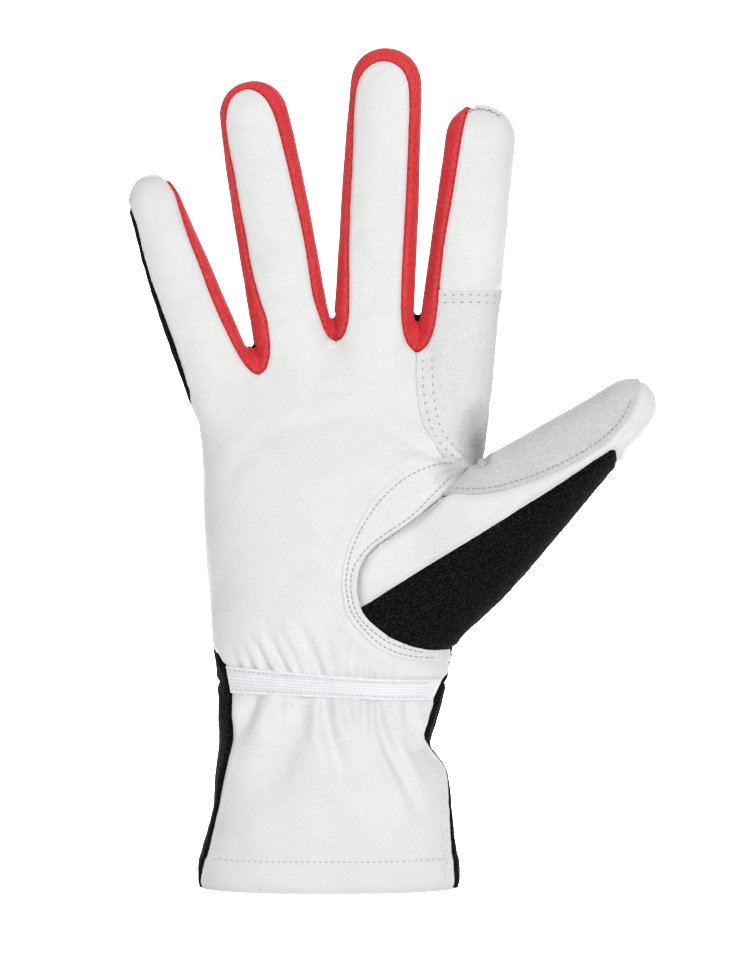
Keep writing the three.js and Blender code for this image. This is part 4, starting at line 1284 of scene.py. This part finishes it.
class GloveColours(bpy.types.PropertyGroup):
    """Colours of the leather, cloth and tape."""

    leather: colour_property("Leather", "White goat leather", "EAEAE9")
    leather_shade: colour_property("Leather, cool patches", "Faint clouding of the leather", "E4E4E4")
    suede: colour_property("Suede", "Raised nap of the suede on the index finger", "EBEBE9")
    suede_shade: colour_property("Suede, pits", "Its nap brushed the other way", "DEDEDC")
    # Painted shade: both thumb suede colours are the index finger's suede made darker, for the shade that the
    # pad lies in.
    pad: colour_property("Thumb suede", "Raised nap of the suede on the thumb", "DBDBD9")
    pad_shade: colour_property("Thumb suede, pits", "Its nap brushed the other way", "C6C6C4")
    red: colour_property("Red cloth", "Side walls of the fingers", "EE494D")
    red_shade: colour_property("Red cloth, shaded", "Between the ribs of the side walls", "DA363C")
    black: colour_property("Black cloth", "Back of the hand and thumb", "070708")
    elastic: colour_property("Elastic", "Tape at the wrist", "EDEEF0")


class GLOVE_OT_form_skin(bpy.types.Operator):
    """Form the hand as one skin and cut it along the seam lines"""

    bl_idname = "glove.form_skin"
    bl_label = "Form and cut the skin"

    def execute(self, context):
        sizes = context.scene.glove_sizes
        tubes = [trunk_tube(), *[finger_tube(name) for name in FINGERS], thumb_tube()]
        deselect()
        for tube in tubes:
            tube.select_set(True)
        context.view_layer.objects.active = tubes[0]
        bpy.ops.object.join()
        skin = context.view_layer.objects.active
        apply_modifier(skin, "REMESH", mode="VOXEL", voxel_size=sizes.fineness, adaptivity=0)
        apply_modifier(skin, "SMOOTH", factor=0.5, iterations=7)
        verts, tris = mesh_arrays(skin)
        bpy.data.objects.remove(skin, do_unlink=True)
        if len(tris) < 1000:
            raise RuntimeError("the hand's tubes did not join into one skin")
        verts = relaxed(verts, tris, root_share(verts), 60)
        verts, tris, labels = cut_pattern(verts, tris)
        seams = find_seams(verts, tris, labels)
        normals = corner_normals(verts, tris)
        depth = fold_depth(verts, normals) + stitch_groove(verts, normals)
        uneven = 0.17 * soft_noise(verts, 13, 1) + 0.05 * soft_noise(verts, 5, 2)
        formed = verts
        verts = verts + normals * (uneven - depth * sizes.fold_depth)[:, None]
        pattern.update(verts=verts, formed=formed, tris=tris, labels=labels, seams=seams, outer={},
                       normals=corner_normals(verts, tris))
        return {"FINISHED"}


class GLOVE_OT_leather(bpy.types.Operator):
    """Sew in the white leather: palm, index tip, thumb front, gusset and cuff front"""

    bl_idname = "glove.leather"
    bl_label = "Leather panels"

    def execute(self, context):
        sizes = context.scene.glove_sizes
        material = goat_leather(context.scene.glove_colours)
        for node in ("palm_panel", "index_tip_panel", "thumb_front_panel", "thumb_gusset", "cuff_front"):
            make_panel(node, material, sizes.leather_wall / MM, sizes.seam_depth)
        return {"FINISHED"}


class GLOVE_OT_suede(bpy.types.Operator):
    """Sew in the suede patches of the index finger and the thumb"""

    bl_idname = "glove.suede"
    bl_label = "Suede patches"

    def execute(self, context):
        sizes = context.scene.glove_sizes
        colours = context.scene.glove_colours
        fresh = suede("pale grey suede", tuple(colours.suede), tuple(colours.suede_shade))
        # The thumb pad's suede is given darker colours as painted shade.
        painted_shade = suede("pale grey suede, handled darker", tuple(colours.pad), tuple(colours.pad_shade))
        for node, material in (("index_reinforcement", fresh), ("thumb_pad_patch", painted_shade)):
            make_panel(node, material, sizes.leather_wall / MM, sizes.seam_depth)
        return {"FINISHED"}


class GLOVE_OT_side_walls(bpy.types.Operator):
    """Sew in the red side walls between the fingers"""

    bl_idname = "glove.side_walls"
    bl_label = "Finger side walls"

    def execute(self, context):
        sizes = context.scene.glove_sizes
        material = red_knit(context.scene.glove_colours)
        for finger in FINGERS:
            make_panel(f"finger_side_{finger}", material, sizes.stretch_wall / MM, sizes.seam_depth)
        return {"FINISHED"}


class GLOVE_OT_stretch_back(bpy.types.Operator):
    """Sew in the black stretch cloth: back of the hand, back of the thumb and back of the cuff"""

    bl_idname = "glove.stretch_back"
    bl_label = "Stretch back"

    def execute(self, context):
        sizes = context.scene.glove_sizes
        material = black_knit(context.scene.glove_colours)
        for node in ("back_panel", "thumb_back_panel", "cuff_back"):
            make_panel(node, material, sizes.stretch_wall / MM, sizes.seam_depth)
        return {"FINISHED"}


class GLOVE_OT_elastic(bpy.types.Operator):
    """Lay the ribbed elastic tape across the wrist"""

    bl_idname = "glove.elastic"
    bl_label = "Wrist elastic"

    def execute(self, context):
        node = "wrist_elastic"
        number = NUMBERS[node]
        base = pattern["tris"][pattern["labels"] == number]
        if not len(base):
            raise RuntimeError("the tape's place was not cut from the skin")
        tree = bvhtree.BVHTree.FromPolygons(pattern["formed"].tolist(), pattern["tris"].tolist())
        across, along = 49, 190
        top, bottom = np.array(ELASTIC_TOP, float), np.array(ELASTIC_BOTTOM, float)
        verts, uv = [], []
        for i in range(along):
            share = i / (along - 1)
            x = -30.4 + 62.2 * share
            high = smooth_values(top[:, 0], top[:, 1], x) + 0.1
            low = smooth_values(bottom[:, 0], bottom[:, 1], x) - 0.1
            flatter = 1 - 0.75 * smooth_step(share, 0.42, 0.7)
            for j in range(across):
                v = j / (across - 1)
                z = low + (high - low) * v
                # Both ends slant with the side seams that they are sewn into.
                hit = laid(tree, x + (0.5 - v) * (1.5 if share < 0.5 else -3.0) * abs(2 * share - 1), z)
                if hit is None:
                    raise RuntimeError("the tape has nothing to lie on")
                place, normal = hit
                # Eight ribs run lengthwise, and the drawn-up tape ripples a little.
                rib = 0.15 * flatter * math.cos(2 * math.pi * 8 * v)
                edge = 0.3 * (smooth_step(v, 0, 0.06) + smooth_step(1 - v, 0, 0.06) - 1)
                ripple = 0.16 * noise.noise(Vector((x / 3.0, v * 1.1, 3.7)))
                end = smooth_step(share, 0, 0.015) + smooth_step(1 - share, 0, 0.015) - 1
                verts.append(place + np.array([0, -1, 0]) * (0.1 + (rib + edge + ripple) * end))
                uv.append((share * 64 * MM, v * 8 * MM))
        faces = [(i * across + j, (i + 1) * across + j, (i + 1) * across + j + 1, i * across + j + 1)
                 for i in range(along - 1) for j in range(across - 1)]
        material = woven_elastic(context.scene.glove_colours)
        tape = new_object("wrist_tape", verts, faces, material)
        layer = tape.data.uv_layers.new(name="cloth")
        for loop in tape.data.loops:
            layer.data[loop.index].uv = uv[loop.vertex_index]
        deselect()
        tape.select_set(True)
        apply_modifier(tape, "SOLIDIFY", thickness=0.0012, offset=-1, use_rim=True)
        bpy.ops.object.shade_smooth_by_angle(angle=math.radians(60))
        triangles = np.array([(f[0], f[1], f[2]) for f in faces] + [(f[0], f[2], f[3]) for f in faces])
        pattern["outer"][node] = (np.array(verts), triangles)
        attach(tape, "root")
        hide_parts(node)
        return {"FINISHED"}


class GLOVE_OT_stitching(bpy.types.Operator):
    """Sew the visible rows of stitches"""

    bl_idname = "glove.stitching"
    bl_label = "Stitching"

    def execute(self, context):
        pattern["tree"] = surface_tree()
        radius = context.scene.glove_sizes.thread / MM
        # Dark lenses of painted shadow stand for the needle holes at the stitches' ends.
        holes = painted_needle_shade("needle hole shade", "77777A", "939396")
        # Painted shade: the white threads are given grey colours, for the shade of the grooves that they lie
        # in.
        pale = sewing_thread("polyester thread greyed by painted shade", linear("A6A6A4"))
        white = sewing_thread("white polyester thread", linear("B4B4B8"))
        hem = sewing_thread("cool white polyester thread", linear("C8C8D2"))
        red = sewing_thread("dark red polyester thread", linear("8E141B"))
        rows = stitch_rows()
        # On the index finger's suede the thread sinks in, and the eye sees only the painted shadows of its
        # needle holes.
        sunk = sewing_thread("pale suede polyester thread", linear("CBCBC8"))
        hole_shadow_marks = painted_needle_shade("needle hole shade in suede", "4A4A4C", "68686A")
        for name, thread, material, hole in (("stitches_on_suede", "pale", pale, holes),
                                             ("stitches_on_index_suede", "dotted", sunk, hole_shadow_marks),
                                             ("stitches_on_leather", "white", white, holes),
                                             ("stitches_on_hem", "hem", hem, None)):
            thread_piece(name, [(p, g, s) for p, g, t, s in rows if t == thread], material, hole, radius)
        top, bottom = np.array(ELASTIC_TOP), np.array(ELASTIC_BOTTOM)
        tape = [(curve([(x, z - 1.0) for x, z in top[1:-1]]), 1.35, 0.7),
                (curve([(x, z + 1.0) for x, z in bottom[1:-1]]), 1.35, 0.7),
                (zigzag(CUFF_ZIGZAG, 2.0, 1.6), 1.9, 0.8)]
        chain = sewing_thread("white chain stitch thread", linear("F2F2F6"))
        gaps = painted_needle_shade("shade between chain stitches", "A9ABBA", "BDBFCC")
        thread_piece("stitches_on_tape", tape, chain, gaps, radius * 1.3, 0.26)
        # The index tip's top edge is drawn together by a short overcast row.
        overcast = [(zigzag(OVERCAST_ROW, 1.1, 0.8), 1.1, 0.7)]
        grey = sewing_thread("mid grey polyester thread", linear("6E6E70"))
        thread_piece("stitches_on_index_tip", overcast, grey, None, radius * 0.9, 0.12)
        sides = [(beside(LEATHER_EDGE, 0.55), 2.1, 0.5)]
        thread_piece("stitches_on_side_walls", sides, red, None, radius * 0.8, 0.1)
        return {"FINISHED"}


class GLOVE_OT_stage(bpy.types.Operator):
    """Set the paper floor, the soft lights and the camera"""

    bl_idname = "glove.stage"
    bl_label = "Floor, light and camera"

    def execute(self, context):
        width, radius, back = 3.0, 0.6, 2.6
        profile = [(-2.6, 0.0), (-0.6, 0.0), (back - radius, 0.0)]
        for k in range(1, 17):
            turn = math.pi / 2 * k / 16
            profile.append((back - radius + radius * math.sin(turn), radius - radius * math.cos(turn)))
        profile.append((back, 2.6))
        verts = [(side * width / MM, y / MM, z / MM) for y, z in profile for side in (-1, 1)]
        faces = [(2 * i, 2 * i + 1, 2 * i + 3, 2 * i + 2) for i in range(len(profile) - 1)]
        paper = new_object("paper_sweep", verts, faces, backdrop_paint())
        deselect()
        paper.select_set(True)
        context.view_layer.objects.active = paper
        bpy.ops.object.shade_smooth()
        world = bpy.data.worlds.new("studio")
        context.scene.world = world
        world.use_nodes = True
        world.node_tree.nodes.clear()
        sky = add_node(world.node_tree, "ShaderNodeBackground", {"Color": (1, 1, 1, 1), "Strength": 0.5})
        add_node(world.node_tree, "ShaderNodeOutputWorld", {"Surface": sky.outputs["Background"]})
        # The paper has a light of its own and throws none back, so the glove's edges darken softly.
        paper.visible_diffuse = False
        only_paper = bpy.data.collections.new("only_paper")
        only_paper.objects.link(paper)
        glove_middle, paper_middle = (0.01, 0.0, 0.12), (0.0, 1.4, 0.0)
        for name, place, target, size, power in (
            ("key_softbox", (0.5, -1.38, 0.34), glove_middle, 0.9, 12.6),
            ("fill_softbox", (-1.2, -1.3, 0.3), glove_middle, 1.2, 4.4),
            ("back_softbox", (0.15, 1.6, 0.8), glove_middle, 1.0, 26.0),
            ("paper_light", (0.0, 0.7, 2.6), paper_middle, 2.0, 330.0),
        ):
            light = bpy.data.lights.new(name, "AREA")
            light.shape = "SQUARE"
            light.size = size
            light.energy = power
            lamp = bpy.data.objects.new(name, light)
            lamp.location = place
            lamp.visible_camera = False
            lamp.rotation_euler = (Vector(target) - Vector(place)).to_track_quat("-Z", "Y").to_euler()
            context.collection.objects.link(lamp)
            if target is paper_middle:
                lamp.light_linking.receiver_collection = only_paper
        lens = bpy.data.cameras.new("camera")
        lens.sensor_fit = "AUTO"
        lens.sensor_width = 36
        lens.lens = 36 * 1000 / 286.5
        lens.clip_end = 20
        camera = bpy.data.objects.new("camera", lens)
        camera.location = (0.0132, -1.0, 0.12225)
        camera.rotation_euler = (math.radians(90), 0, 0)
        context.collection.objects.link(camera)
        context.scene.camera = camera
        # White paper stays white and the leather keeps its shades, as in a plain product photograph.
        context.scene.view_settings.view_transform = "Standard"
        context.scene.view_settings.look = "None"
        return {"FINISHED"}


class GLOVE_PT_panel(bpy.types.Panel):
    """Glove"""

    bl_label = "Ski glove"
    bl_idname = "GLOVE_PT_panel"
    bl_space_type = "VIEW_3D"
    bl_region_type = "UI"
    bl_category = "Glove"

    def draw(self, context):
        sizes, colours = context.scene.glove_sizes, context.scene.glove_colours
        for group in (sizes, colours):
            box = self.layout.box()
            for name in group.__annotations__:
                box.prop(group, name)
        for operator in OPERATORS:
            self.layout.operator(operator.bl_idname)


OPERATORS = (
    GLOVE_OT_form_skin,
    GLOVE_OT_leather,
    GLOVE_OT_suede,
    GLOVE_OT_side_walls,
    GLOVE_OT_stretch_back,
    GLOVE_OT_elastic,
    GLOVE_OT_stitching,
    GLOVE_OT_stage,
)
CLASSES = (GloveSizes, GloveColours, *OPERATORS, GLOVE_PT_panel)


def register():
    for one in CLASSES:
        bpy.utils.register_class(one)
    bpy.types.Scene.glove_sizes = bpy.props.PointerProperty(type=GloveSizes)
    bpy.types.Scene.glove_colours = bpy.props.PointerProperty(type=GloveColours)


def unregister():
    del bpy.types.Scene.glove_colours
    del bpy.types.Scene.glove_sizes
    for one in reversed(CLASSES):
        bpy.utils.unregister_class(one)


def main():
    register()
    bpy.ops.glove.form_skin()
    bpy.ops.glove.leather()
    bpy.ops.glove.suede()
    bpy.ops.glove.side_walls()
    bpy.ops.glove.stretch_back()
    bpy.ops.glove.elastic()
    bpy.ops.glove.stitching()
    bpy.ops.glove.stage()


if __name__ == "__main__":
    main()
